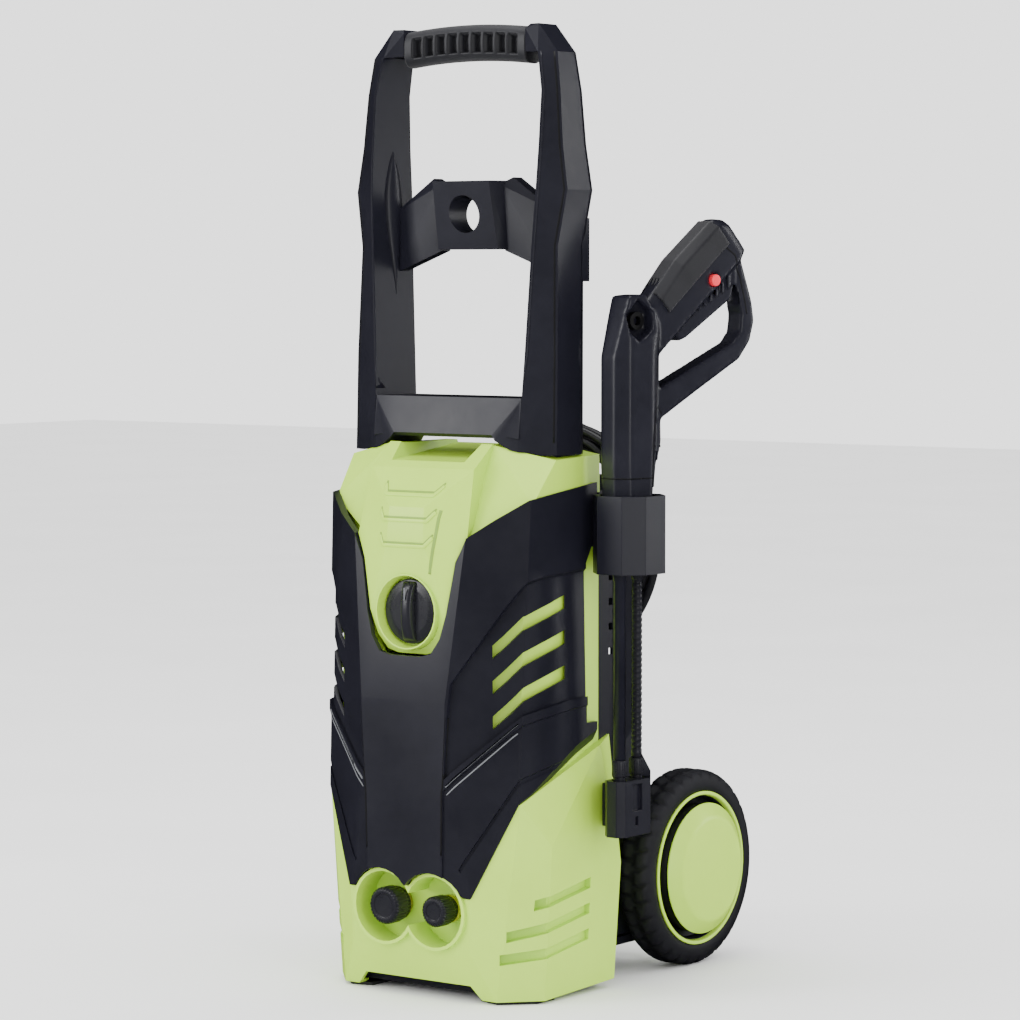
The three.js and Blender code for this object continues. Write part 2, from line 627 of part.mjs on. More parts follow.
// ---------------------------------------------------------------- controls
const knobBack = dialRecessDepth - 2 - gap;
add('dial_knob', join(
  rod('y', 0, dialZ, 1.5, knobBack, dialRadius, dialRadius, 32),
  rod('y', 0, dialZ, knobBack - 1, 38, dialShaftRadius, dialShaftRadius, 16),
  hull([[-6.5, 2, dialZ - 27], [6.5, 2, dialZ - 27], [-6.5, 2, dialZ + 27], [6.5, 2, dialZ + 27],
    [-4.5, -9, dialZ - 22], [4.5, -9, dialZ - 22], [-4.5, -9, dialZ + 22], [4.5, -9, dialZ + 22]]),
), black);
add('switch_box', cut(
  block(-24, 24, 22, 60, dialZ - 26, dialZ + 26),
  rod('y', 0, dialZ, 10, 44, dialShaftRadius + runningGap, dialShaftRadius + runningGap, 16),
), grey);
add('capacitor', rod('z', -62, 56, 230, 286, 17, 17, 24), grey);

// ---------------------------------------------------------------- motor and pump
add('motor_can', turned('z', 0, motorY, [
  [motorRadius - 4, motorBottom], [motorRadius, motorBottom], [motorRadius, motorTop - 20],
  [motorRadius - 10, motorTop - 8], [shaftRadius + 2, motorTop - 8], [shaftRadius + 2, motorTop - 12],
  [motorRadius - 13, motorTop - 12], [motorRadius - 4, motorTop - 22], [motorRadius - 4, motorBottom],
], 36), alloy);
add('rotor', join(
  rod('z', 0, motorY, motorBottom - 24, motorTop + 16, shaftRadius, shaftRadius, 20),
  rod('z', 0, motorY, motorBottom + 20, motorTop - 34, 34, 34, 32),
), steel);
const fanHub = ring('z', 0, motorY, shaftRadius + gap, 14, motorTop, motorTop + 12, 24);
const fanBlades = Array.from({ length: 8 }, (_, i) => {
  const turn = (i / 8) * Math.PI * 2;
  const at = (radius, angle, z) => [radius * Math.cos(angle), motorY + radius * Math.sin(angle), z];
  return hull([0, 0.06].flatMap((thick) => [
    at(11, turn + thick, motorTop + 1), at(42, turn + thick * 0.4, motorTop + 1),
    at(11, turn + thick + 0.2, motorTop + 11), at(42, turn + thick * 0.4 + 0.12, motorTop + 11),
  ]));
});
add('cooling_fan', join(fanHub, ...fanBlades), softBlack);
add('wobble_plate', cut(
  hull(Array.from({ length: 24 }, (_, i) => (i / 24) * Math.PI * 2).flatMap((turn) => {
    const [x, y] = [36 * Math.cos(turn), 36 * Math.sin(turn)];
    return [[x, motorY + y, motorBottom - 14], [x, motorY + y, motorBottom - 24 + 0.11 * x]];
  })),
  rod('z', 0, motorY, 200, 300, shaftRadius + gap, shaftRadius + gap, 20),
), steel);
const pumpTop = 212;
const pumpBottom = 132;
const plungerTop = motorBottom - 29;
const plungerAngle = (i) => (i / plungerCount) * Math.PI * 2 + Math.PI / 2;
const plungerXY = (i) => [
  plungerPitchRadius * Math.cos(plungerAngle(i)), motorY - 8 + plungerPitchRadius * Math.sin(plungerAngle(i)),
];
const plungerBores = Array.from({ length: plungerCount }, (_, i) => rod(
  'z', ...plungerXY(i), plungerTop - plungerLength - 8, pumpTop + 5, plungerRadius + runningGap,
  plungerRadius + runningGap, 20,
));
const portY = 62;
add('pump_block', cut(
  join(
    rod('z', 0, motorY - 8, pumpBottom + 20, pumpTop, 44, 44, 32),
    block(-40, 40, portY, motorY + 18, pumpBottom, pumpBottom + 40),
  ),
  ...plungerBores,
), alloy);
for (let i = 0; i < plungerCount; i += 1) {
  add(`plunger_${i + 1}`, rod(
    'z', ...plungerXY(i), plungerTop - plungerLength, plungerTop, plungerRadius, plungerRadius, 16,
  ), steel);
}

// Elbow pipes run from the pump's front down to the sockets, where the hose fittings are.
for (const [side, label] of [[-1, 'outlet'], [1, 'inlet']]) {
  const x = side * socketX;
  add(`${label}_pipe`, join(
    rod('y', x, socketZ, socketDepth + wall + 2, 50, 8, 8, 20),
    rod('z', x, 50, socketZ - 8, pumpBottom - gap, 8, 8, 20).intersect(block(-60, 60, 30, 70, 60, 130)),
    hull([[x - 7, 43, 118], [x + 7, 43, 118], [x - 7, 90, 118], [x + 7, 90, 118],
      [x - 7, 43, pumpBottom - gap], [x + 7, 43, pumpBottom - gap], [x - 7, 90, pumpBottom - gap],
      [x + 7, 90, pumpBottom - gap]]),
  ), brass);
  add(`${label}_fitting`, cut(
    join(
      rod('y', x, socketZ, 4, socketDepth + wall + 2 - gap, fittingRadius, fittingRadius, 24),
      rod('y', x, socketZ, socketDepth - 5, socketDepth - gap, fittingRadius + 3, fittingRadius + 3, 6),
    ),
    rod('y', x, socketZ, 0, 22, 6, 6, 20),
  ), brass);
  const capRadius = side < 0 ? outletCapRadius : inletCapRadius;
  add(`${label}_cap`, cut(
    join(
      rod('y', x, socketZ, -1, socketDepth - 6, capRadius, capRadius, 28),
      rod('y', x, socketZ, -3, -1, capRadius - 2, capRadius, 28),
    ),
    rod('y', x, socketZ, 3, 40, fittingRadius + runningGap, fittingRadius + runningGap, 24),
  ), black);
}

// ---------------------------------------------------------------- gun and lance holders
const collarSection = facetedSection(holderX, gunY, collarDepth, collarWidth, 15);
const barrelX = -2; // barrel's middle in the gun's own plane
const raised = (section, z) => section.map(([x, y]) => [x, y, z]);
const fromGun = ([x, y, z]) => [
  holderX + x * Math.cos(gunSwing) - y * Math.sin(gunSwing),
  gunY + x * Math.sin(gunSwing) + y * Math.cos(gunSwing), z,
];
const pocketSection = facetedSection(
  barrelX, 0, barrelWidth - 2 + 2 * pocketClearance, barrelDepth + 2 * pocketClearance, 10,
);
const gunPocket = hull([
  ...raised(pocketSection, collarTop - gunPocketDepth), ...raised(pocketSection, collarTop + 5),
].map(fromGun));
const collarBottom = collarTop - collarHeight;
const lanceY = [gunY - 14, gunY - 14 + lancePitch];
const lanceHoles = (from, to, spare) => lanceY.map((y) => rod(
  'z', holderX, y, from, to, lanceRadius + spare, lanceRadius + spare, 20,
));
add('gun_holder', cut(
  join(
    plate('xy', collarSection, collarBottom, collarTop),
    block(w + 0.6, holderX - 20, 124, 146, collarBottom + 8, collarTop - 8),
  ),
  gunPocket,
  ...lanceHoles(collarBottom - 5, collarBottom + lanceSocketDepth, pocketClearance),
), black);
add('lance_holder', cut(
  join(
    plate('xy', facetedSection(holderX, gunY - 1, 22, 50, 6), cupTop - cupHeight, cupTop),
    block(w + 8.6, holderX - 8, gunY, gunY + 17, cupTop - cupHeight + 5, cupTop - 6),
  ),
  ...lanceHoles(lanceBottom - 0.5, cupTop + 5, 1.2),
  block(cupPocketX, cupPocketX + 20, gunY - 10, gunY + 5, cupTop - 27, cupTop - 4),
  block(cupPocketX, cupPocketX + 20, gunY - 5, gunY - 1, cupTop - 40, cupTop - 32),
), black);

lanceY.forEach((y, i) => {
  const tip = 32;
  add(`lance_${i + 1}`, join(
    rod('z', holderX, y, lanceBottom + tip, lanceTop, lanceRadius - 0.6 * i, lanceRadius - 0.6 * i, 20),
    rod('z', holderX, y, lanceTop - 14, lanceTop - 4, lanceRadius + 0.7, lanceRadius + 0.7, 20),
  ), softBlack);
  add(`lance_tip_${i + 1}`, join(
    rod('z', holderX, y, lanceBottom, lanceBottom + tip - gap, lanceRadius, lanceRadius, 20),
    rod('z', holderX, y, cupTop + 3, lanceBottom + tip - gap, lanceRadius + 1.5, lanceRadius + 1.5, 6),
  ), black);
});

// ---------------------------------------------------------------- spray gun, in its own plane
// Local x runs from the gun's back to its trigger guard, local y through its thickness.
const gunPlate = (outline, thick, bevel = 0) => plate('xz', outline, -thick / 2, thick / 2, bevel);
const gunFloor = collarTop - gunPocketDepth + 1.5;
const couplingLength = 14;
const barrelFoot = facetedSection(barrelX, 0, barrelWidth - 4, barrelDepth - 2, 10);
const barrelSection = facetedSection(barrelX, 0, barrelWidth, barrelDepth, 10);
const barrel = hull([...raised(barrelFoot, gunFloor + couplingLength), ...raised(barrelSection, 466)]);
const gunBack = hull([
  ...raised(barrelSection, 466), ...raised(barrelSection, 560),
  [-10, -12, 613], [-10, 12, 613], [8, -14, 614], [8, 14, 614], [21, -15, 588], [21, 15, 588],
]);
const thumbRest = hull([-9, 9].flatMap((y) => [
  [10, y, 503], [21, y, 519], [29, y, 508], [30, y, 486], [19, y, 449], [10, y, 449],
]));
const gripStart = [22, 600];
const gripEnd = [98, 667];
const gripAlong = new THREE.Vector2(gripEnd[0] - gripStart[0], gripEnd[1] - gripStart[1]);
const gripLength = gripAlong.length();
gripAlong.normalize();
// A point of the grip: along its axis, across it, and through its thickness.
const gripPoint = (along, across, through) => [
  gripStart[0] + gripAlong.x * along - gripAlong.y * across, through,
  gripStart[1] + gripAlong.y * along + gripAlong.x * across,
];
const gripSection = (along, upper, lower, half) => [-1, 1].flatMap((side) => [
  gripPoint(along, upper, side * half * 0.5), gripPoint(along, upper - 7, side * half),
  gripPoint(along, lower, side * half),
]);
// The grip in three stretches; inset draws it in all round, lower says how far it reaches down.
const gripBar = (inset, lower, from, to) => {
  const middle = gripSection(gripLength * 0.45, 18 - inset, lower, 16 - inset);
  return join(
    hull([...gripSection(from, 13 - inset, lower, 15.5 - inset), ...middle]),
    hull([...middle, ...gripSection(to, 16 - inset, lower - 2, 15 - inset)]),
  );
};
const padThickness = 2.2;
const padLower = -9;
const gripCore = join(
  gripBar(padThickness, -30, -22, gripLength + 4),
  hull([...gripSection(gripLength + 4, 13, -32, 13), ...gripSection(gripLength + 13, 5, -30, 10)]),
);
const guardOutline = [
  [96, 678], [112, 671], [122, 650], [137, 608], [140, 590], [135, 572], [122, 556], [72, 529], [20, 500],
  [4, 520], [10, 590],
];
const guardHole = [
  [27, 532], [114, 571], [122, 580], [124, 596], [116, 622], [62, 592], [50, 580], [27, 566],
];
const triggerHalf = 8;
const triggerPivot = { x: 44, z: 590 };
const triggerOutline = [
  [38, 592], [41, 600], [104, 652], [113, 650], [119, 632], [113, 611], [107, 606], [60, 576], [52, 573],
  [43, 581],
];
const triggerRoom = [
  [33, 588], [33, 604], [88, 664], [98, 669], [112, 664], [123, 642], [123, 606], [108, 598], [60, 568],
  [42, 566],
];
const triggerSwing = THREE.MathUtils.degToRad(8);
const lockRadius = 5.2;
const lockPoint = { x: 87, z: 626 };
const lockPath = [0, 0.5, 1].map((share) => {
  const turn = -triggerSwing * share;
  const [dx, dz] = [lockPoint.x - triggerPivot.x, lockPoint.z - triggerPivot.z];
  return [
    triggerPivot.x + dx * Math.cos(turn) - dz * Math.sin(turn),
    triggerPivot.z + dx * Math.sin(turn) + dz * Math.cos(turn),
  ];
});
const lockWindow = join(...lockPath.map(
  ([x, z]) => rod('y', x, z, -30, 30, lockRadius + 1, lockRadius + 1, 20),
));
const inletPocket = plate(
  'xz', [[-13, 581], [-2, 573], [13, 583], [13, 599], [-1, 610], [-13, 597]], -30, -4,
);
const pinRadius = 2;
add('gun_body', cut(
  join(barrel, gunBack, thumbRest, gripCore, cut(gunPlate(guardOutline, 20, 2.5), gunPlate(guardHole, 40))),
  gunPlate(triggerRoom, 2 * (triggerHalf + runningGap)),
  inletPocket,
  rod('y', lockPoint.x, lockPoint.z, -30, 30, lockRadius + runningGap, lockRadius + runningGap, 20),
  rod('y', triggerPivot.x, triggerPivot.z, -13, 13, pinRadius + gap, pinRadius + gap, 16),
), black, gun);
add('gun_grip_pad', cut(
  gripBar(0, padLower, 7, gripLength - 1),
  gripBar(padThickness - gap, padLower - 12, -22, gripLength + 4),
), softBlack, gun);
add('gun_trigger', cut(
  gunPlate(triggerOutline, 2 * triggerHalf, 1.5),
  lockWindow,
  rod('y', triggerPivot.x, triggerPivot.z, -20, 20, pinRadius + gap, pinRadius + gap, 16),
), softBlack, gun);
add('trigger_pin', rod(
  'y', triggerPivot.x, triggerPivot.z, gap - 13, 13 - gap, pinRadius, pinRadius, 16,
), steel, gun);
add('trigger_lock', rod('y', lockPoint.x, lockPoint.z, -16.5, 13.5, lockRadius, lockRadius, 20), red, gun);
add('gun_inlet', ring('y', 0, 591, 4, 8, -10, -4 - gap, 20), black, gun);
add('gun_coupling', ring(
  'z', barrelX, 0, 5.5, 13, gunFloor, gunFloor + couplingLength - gap, 24,
), brass, gun);

// ---------------------------------------------------------------- power cord
const coilInner = coilRadius - coilBundle;
add('cord_coil', ring(
  'y', 0, coilZ, coilInner, coilRadius, coilY - coilBundle / 2, coilY + coilBundle / 2, 40,
), rubber);
const hookHalf = 13;
const hookTop = coilZ + coilInner - 2;
add('cord_hook', join(
  block(-hookHalf, hookHalf, rearY + gap, rearY + 5, 405, hookTop),
  block(-hookHalf, hookHalf, rearY + gap, coilY + 22, hookTop - 8, hookTop),
  block(-hookHalf, hookHalf, coilY + 16, coilY + 22, hookTop - 8, hookTop + 15),
  hull([-3, 3].flatMap((x) => [[x, rearY + 4, 415], [x, rearY + 4, hookTop - 5], [x, rearY + 22, hookTop - 5]])),
), black);
const tieRoom = coilBundle / 2 + 0.7;
const tieZ = coilZ - coilRadius + coilBundle / 2;
const tieBlock = (half, width) => block(
  -width, width, coilY - half, coilY + half, tieZ - half, tieZ + half,
);
add('cord_tie', cut(tieBlock(tieRoom + 1.6, 7), tieBlock(tieRoom, 20)), softBlack);

const glandTip = rearY + 36;
add('cord_gland', join(
  rod('y', glandX, glandZ, rearY - 14, rearY + 2, glandBore - gap, glandBore - gap, 20),
  rod('y', glandX, glandZ, rearY + gap, rearY + 4, 11, 10, 20),
  rod('y', glandX, glandZ, rearY + 4, glandTip, 8, cordRadius + 1, 20),
), rubber);

function cord(name, points) {
  const curve = new THREE.CatmullRomCurve3(points.map(vector), false, 'centripetal');
  const section = new THREE.Shape(Array.from({ length: 10 }, (_, i) => new THREE.Vector2(
    cordRadius * Math.cos((i / 10) * 2 * Math.PI), cordRadius * Math.sin((i / 10) * 2 * Math.PI),
  )));
  const steps = Math.ceil(curve.getLength() / (5 * cordRadius));
  add(name, solid(new THREE.ExtrudeGeometry(section, { steps, extrudePath: curve, bevelEnabled: false })), rubber);
}
cord('power_cord', [
  [-40, 241.3, 252], [-40, 257, 251.5], [-40, 272.5, 247], [-40.5, 284, 236], [-42, 289, 221], [-46, 289.5, 205],
  [-57, 289, 193], [-74, 288, 188.5], [-90, 285, 192.5], [-102, 279.5, 204], [-108, 270, 222], [-109.5, 257, 246],
  [-109.5, 242, 272], [-109, 229, 298], [-108.5, 221.5, 322], [-108, 219, 342],
]);
cord('cord_end', [
  [26.2, 246, 481.5], [30, 251, 473.5], [31, 256.5, 465], [31, 260, 456], [31, 262, 446], [31, 262, 422],
  [31, 262, 399],
]);
const plugX = 31;
const plugY = 262;
const plugTop = 398;
add('plug_body', join(
  rod('z', plugX, plugY, plugTop - 16, plugTop, 9, cordRadius + 1, 20),
  hull([...raised(facetedSection(plugX, plugY, 24, 22, 6), plugTop - 16),
    ...raised(facetedSection(plugX, plugY, 30, 28, 7), plugTop - 48),
    ...raised(facetedSection(plugX, plugY, 26, 24, 7), plugTop - 30)]),
), rubber);
for (const [side, label] of [[-1, 'left'], [1, 'right']]) {
  add(`plug_pin_${label}`, rod(
    'z', plugX + side * 9.5, plugY, plugTop - 67, plugTop - 48 - gap, 2.4, 2.4, 12,
  ), brass);
}

// ---------------------------------------------------------------- origin
// The footprint is measured without the free cord and what hangs on it.
const cordPieces = /^(power_cord|cord_end|cord_coil|cord_tie|plug_)/;
machine.updateMatrixWorld(true);
const footprint = new THREE.Box3();
machine.traverse((node) => {
  if (node.isMesh && !cordPieces.test(node.name)) footprint.expandByObject(node, true);
});
const middle = footprint.getCenter(new THREE.Vector3());
machine.position.set(-middle.x, -middle.y, 0);
machine.updateMatrixWorld(true);

export default machine;
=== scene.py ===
"""Upright electric pressure washer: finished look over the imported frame."""

import math

import bmesh
import bpy
from mathutils import Matrix, Vector
from mathutils.bvhtree import BVHTree


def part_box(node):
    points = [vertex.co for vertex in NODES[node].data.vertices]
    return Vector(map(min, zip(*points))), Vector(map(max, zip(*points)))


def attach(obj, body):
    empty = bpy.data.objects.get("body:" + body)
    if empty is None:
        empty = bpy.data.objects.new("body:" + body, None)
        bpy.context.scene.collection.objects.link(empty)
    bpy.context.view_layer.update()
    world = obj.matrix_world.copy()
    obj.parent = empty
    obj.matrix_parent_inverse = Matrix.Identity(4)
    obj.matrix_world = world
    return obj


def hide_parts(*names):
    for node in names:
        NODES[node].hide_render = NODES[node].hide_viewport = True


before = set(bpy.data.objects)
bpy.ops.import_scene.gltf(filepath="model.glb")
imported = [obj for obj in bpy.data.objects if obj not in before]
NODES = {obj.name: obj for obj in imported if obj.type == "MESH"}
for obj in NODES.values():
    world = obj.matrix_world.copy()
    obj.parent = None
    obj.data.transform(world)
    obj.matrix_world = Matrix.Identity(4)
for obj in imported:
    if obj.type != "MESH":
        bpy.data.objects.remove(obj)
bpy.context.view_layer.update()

# The machine's own origin: mid-plane, hose socket face, floor. Everything is drawn in millimetres from it.
_low, _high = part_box("dial_knob")
_pipe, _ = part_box("outlet_fitting")
ORIGIN = Vector(((_low.x + _high.x) / 2, _pipe.y - 0.004, 0.0))
SOCKET_X, SOCKET_Z = 27.5, 78.4
DIAL_Z = 339.0
AXLE_Y, AXLE_Z = 280.0, 89.5
WHEEL_IN, WHEEL_OUT = 84.0, 118.0
DISC = WHEEL_IN + 14
HANDLE_TOP = 850.0
GUN_X, GUN_Y, GUN_SWING = 150.0, 118.0, math.radians(76)
COIL_Y, COIL_Z = 226.0, 388.0
CORD_R = 4.0


def at(x, y, z):
    return ORIGIN + Vector((x, y, z)) / 1000


def at_gun(u, v, z):
    """A point in the gun's own plane: u towards its guard, v through its thickness."""
    c, s = math.cos(GUN_SWING), math.sin(GUN_SWING)
    return at(GUN_X + u * c - v * s, GUN_Y + u * s + v * c, z)


# ---------------------------------------------------------------- camera
def make_camera():
    data = bpy.data.cameras.new("view")
    data.sensor_width = 36
    data.lens = 129.9
    data.clip_end = 50
    camera = bpy.data.objects.new("view", data)
    camera.location = at(1970.9, -2503.4, 632.1)
    camera.rotation_euler = (math.radians(90 - 3.681), 0, math.radians(36.644))
    bpy.context.scene.collection.objects.link(camera)
    bpy.context.scene.camera = camera


make_camera()


# ---------------------------------------------------------------- shader building
class Wire:
    """A shader socket that can be combined with arithmetic."""

    def __init__(self, tree, socket):
        self.tree, self.socket = tree, socket

    def _math(self, kind, other, swap=False):
        node = self.tree.nodes.new("ShaderNodeMath")
        node.operation = kind
        a, b = (other, self) if swap else (self, other)
        for slot, value in zip(node.inputs, (a, b)):
            plug(self.tree, value, slot)
        return Wire(self.tree, node.outputs[0])

    def __add__(self, other):
        return self._math("ADD", other)

    def __sub__(self, other):
        return self._math("SUBTRACT", other)

    def __rsub__(self, other):
        return self._math("SUBTRACT", other, True)

    def __mul__(self, other):
        return self._math("MULTIPLY", other)

    def __gt__(self, other):
        return self._math("GREATER_THAN", other)

    def power(self, other):
        return self._math("POWER", other)


def plug(tree, value, slot):
    if isinstance(value, Wire):
        tree.links.new(value.socket, slot)
    else:
        slot.default_value = value


class Shader:
    """One material with a Principled surface and object coordinates in metres."""

    def __init__(self, name):
        self.material = bpy.data.materials.new(name)
        self.material.use_nodes = True
        self.tree = self.material.node_tree
        self.tree.nodes.clear()
        self.surface = self.tree.nodes.new("ShaderNodeBsdfPrincipled")
        end = self.tree.nodes.new("ShaderNodeOutputMaterial")
        self.tree.links.new(self.surface.outputs[0], end.inputs[0])
        self.place = self.node("ShaderNodeTexCoord", out="Object")

    def node(self, kind, out=0, settings=None, **inputs):
        node = self.tree.nodes.new(kind)
        for key, value in (settings or {}).items():
            setattr(node, key, value)
        for key, value in inputs.items():
            plug(self.tree, value, node.inputs[key.replace("_", " ")])
        return Wire(self.tree, node.outputs[out])

    def noise(self, scale, detail=2.0, roughness=0.5, place=None):
        return self.node(
            "ShaderNodeTexNoise", "Fac", Vector=place or self.place,
            Scale=scale, Detail=detail, Roughness=roughness,
        )

    def stretched(self, x, y, z):
        return self.node(
            "ShaderNodeMapping", settings={"vector_type": "POINT"}, Vector=self.place, Scale=(x, y, z)
        )

    def ramp(self, factor, low, high, dark, light):
        node = self.tree.nodes.new("ShaderNodeValToRGB")
        node.color_ramp.elements[0].position = low
        node.color_ramp.elements[1].position = high
        node.color_ramp.elements[0].color = (*dark, 1)
        node.color_ramp.elements[1].color = (*light, 1)
        plug(self.tree, factor, node.inputs[0])
        return Wire(self.tree, node.outputs[0])

    def span(self, factor, low, high):
        node = self.tree.nodes.new("ShaderNodeMapRange")
        plug(self.tree, factor, node.inputs["Value"])
        node.inputs["From Min"].default_value = 0.3
        node.inputs["From Max"].default_value = 0.7
        node.inputs["To Min"].default_value = low
        node.inputs["To Max"].default_value = high
        return Wire(self.tree, node.outputs[0])

    def bump(self, height, distance, strength=1.0, normal=None):
        more = {"Normal": normal} if normal else {}
        return self.node("ShaderNodeBump", Height=height, Distance=distance, Strength=strength, **more)

    def set(self, **inputs):
        for key, value in inputs.items():
            plug(self.tree, value, self.surface.inputs[key.replace("_", " ")])
        return self.material


def shade(colour, factor):
    return tuple(min(1, c * factor) for c in colour)


def moulded(name, colour, roughness, grain=2600, depth=0.00004, spread=0.05, coat=0.0):
    """Moulded plastic: fine spark-eroded grain, slow flow marks, and patches of handling sheen."""
    s = Shader(name)
    flow = s.noise(14, 3, 0.55)
    cloud = s.noise(95, 4, 0.6)
    fine = s.noise(grain, 2, 0.6)
    pits = s.node("ShaderNodeTexVoronoi", "Distance", Vector=s.place, Scale=grain * 0.45)
    tone = flow * 0.6 + cloud * 0.25 + fine * 0.15
    height = fine * 0.6 + pits * 0.4
    s.set(
        Base_Color=s.ramp(tone, 0.35, 0.65, shade(colour, 1 - spread), shade(colour, 1 + spread)),
        Roughness=s.span(flow * 0.5 + cloud * 0.3 + fine * 0.2, roughness - 0.05, roughness + 0.06),
        Normal=s.bump(height, depth, 0.8, s.bump(cloud, 0.00012, 0.35)),
        Specular_IOR_Level=0.4,
        Coat_Weight=coat,
        Coat_Roughness=0.25,
    )
    return s.material


def soft_touch(name, colour, roughness):
    """Thermoplastic overmould: leathery cells and a dull sheen."""
    s = Shader(name)
    cells = s.node("ShaderNodeTexVoronoi", "Distance", Vector=s.place, Scale=900.0)
    fine = s.noise(3200, 3, 0.7)
    slow = s.noise(40, 3)
    s.set(
        Base_Color=s.ramp(slow * 0.7 + fine * 0.3, 0.35, 0.65, shade(colour, 0.86), shade(colour, 1.16)),
        Roughness=s.span(slow * 0.6 + fine * 0.4, roughness - 0.06, roughness + 0.07),
        Normal=s.bump(cells * 0.7 + fine * 0.3, 0.00009, 0.8),
        Sheen_Weight=0.12,
        Sheen_Roughness=0.5,
    )
    return s.material


def rubber(name, colour, roughness):
    """Vulcanised rubber with bloom, mould streaks and fine pores."""
    s = Shader(name)
    bloom = s.noise(26, 5, 0.65)
    pores = s.noise(2100, 3, 0.7)
    streak = s.noise(120, 3, 0.6, s.stretched(6.0, 1.0, 1.0))
    s.set(
        Base_Color=s.ramp(
            bloom * 0.65 + streak * 0.35, 0.35, 0.68, shade(colour, 0.8), shade(colour, 1.35)),
        Roughness=s.span(bloom, roughness - 0.07, roughness + 0.06),
        Normal=s.bump(pores * 0.7 + streak * 0.3, 0.00008, 0.8),
    )
    return s.material


def metal(name, colour, roughness, along=(1.0, 1.0, 30.0), depth=0.00002):
    """Turned or drawn metal: fine lines one way, faint stains."""
    s = Shader(name)
    lines = s.noise(300, 3, 0.7, s.stretched(*along))
    stain = s.noise(30, 4, 0.6)
    s.set(
        Base_Color=s.ramp(stain * 0.6 + lines * 0.4, 0.35, 0.65, shade(colour, 0.86), shade(colour, 1.08)),
        Metallic=1.0,
        Roughness=s.span(lines * 0.6 + stain * 0.4, roughness - 0.08, roughness + 0.1),
        Normal=s.bump(lines, depth, 0.7),
    )
    return s.material


def cast(name, colour, roughness):
    """Die-cast alloy: orange-peel skin and dull patches."""
    s = Shader(name)
    skin = s.noise(420, 5, 0.65)
    patch = s.noise(22, 3)
    s.set(
        Base_Color=s.ramp(patch * 0.5 + skin * 0.5, 0.35, 0.65, shade(colour, 0.84), shade(colour, 1.1)),
        Metallic=0.85,
        Roughness=s.span(patch * 0.6 + skin * 0.4, roughness - 0.08, roughness + 0.1),
        Normal=s.bump(skin, 0.00018, 0.7),
    )
    return s.material


GREEN = moulded("green_plastic", (0.43, 0.68, 0.06), 0.36, grain=1500, depth=0.00002,
                spread=0.035, coat=0.12)
BLACK = moulded("black_plastic", (0.0085, 0.0085, 0.0145), 0.36, spread=0.16)
DARK = moulded("gun_plastic", (0.0095, 0.0095, 0.016), 0.34, grain=2100, spread=0.16)
SATIN = moulded("knob_plastic", (0.012, 0.012, 0.016), 0.28, grain=1800, depth=0.00002, spread=0.15)
# Near-black for dark seams and joint lines, also used as painted shade in gaps, creases and cavities.
SEAM_AND_SHADE = moulded("seam_shadow", (0.0035, 0.0035, 0.0045), 0.6, spread=0.2)
# Darker green: painted shade laid into grooves and along the badge's steps.
SHADE_GREEN = moulded("green_groove_shade", (0.2, 0.34, 0.04), 0.5, spread=0.08)
GREY = moulded("grey_plastic", (0.13, 0.135, 0.145), 0.45, spread=0.1)
RED = moulded("red_plastic", (0.78, 0.035, 0.05), 0.3, grain=1800, depth=0.00002, spread=0.06, coat=0.2)
SOFT = soft_touch("soft_grip", (0.008, 0.008, 0.012), 0.5)
TYRE = rubber("tyre_rubber", (0.0075, 0.0075, 0.012), 0.6)
FOOT = rubber("foot_rubber", (0.02, 0.02, 0.021), 0.75)
CORD = rubber("cord_rubber", (0.009, 0.009, 0.012), 0.42)
STEEL = metal("bright_steel", (0.62, 0.63, 0.65), 0.3)
BRASS = metal("turned_brass", (0.75, 0.55, 0.25), 0.28, along=(1.0, 30.0, 1.0))
ALLOY = cast("cast_alloy", (0.55, 0.56, 0.58), 0.42)


def paint(obj, material):
    obj.data.materials.clear()
    obj.data.materials.append(material)
    return obj


# ---------------------------------------------------------------- mesh helpers
def link(name, mesh_or_curve):
    obj = bpy.data.objects.new(name, mesh_or_curve)
    bpy.context.scene.collection.objects.link(obj)
    return obj


def mesh_object(name, points, faces, smooth=True, weld=0.0):
    mesh = bpy.data.meshes.new(name)
    mesh.from_pydata([tuple(p) for p in points], [], faces)
    mesh.update()
    work = bmesh.new()
    work.from_mesh(mesh)
    if weld:
        bmesh.ops.remove_doubles(work, verts=work.verts, dist=weld)
    bmesh.ops.recalc_face_normals(work, faces=work.faces)
    work.to_mesh(mesh)
    work.free()
    for face in mesh.polygons:
        face.use_smooth = smooth
    return link(name, mesh)


def loft(name, rings, closed_ends=True, smooth=True):
    """Joins rings of equal length into a tube, with a fan at each end."""
    count = len(rings[0])
    points = [p for ring in rings for p in ring]
    faces = []
    for i in range(len(rings) - 1):
        for j in range(count):
            a, b = i * count + j, i * count + (j + 1) % count
            faces.append((a, b, b + count, a + count))
    if closed_ends:
        faces.append(tuple(range(count))[::-1])
        faces.append(tuple((len(rings) - 1) * count + j for j in range(count)))
    return mesh_object(name, points, faces, smooth)


def lathe(name, axis, centre, profile, sides=96, ripple=None):
    """Turns a closed or axis-ended profile of (radius, level) about x, y or z through centre (mm)."""
    cx, cy, cz = centre
    points, faces = [], []
    for i in range(sides):
        turn = 2 * math.pi * i / sides
        for j, (radius, level) in enumerate(profile):
            r = radius + (ripple(j, turn) if ripple else 0.0)
            a, b = r * math.cos(turn), r * math.sin(turn)
            offset = {"x": (level, a, b), "y": (a, level, b), "z": (a, b, level)}[axis]
            points.append(at(cx + offset[0], cy + offset[1], cz + offset[2]))
    count = len(profile)
    for i in range(sides):
        k = (i + 1) % sides
        for j in range(count - 1):
            faces.append((i * count + j, i * count + j + 1, k * count + j + 1, k * count + j))
    return mesh_object(name, points, faces, weld=1e-6)


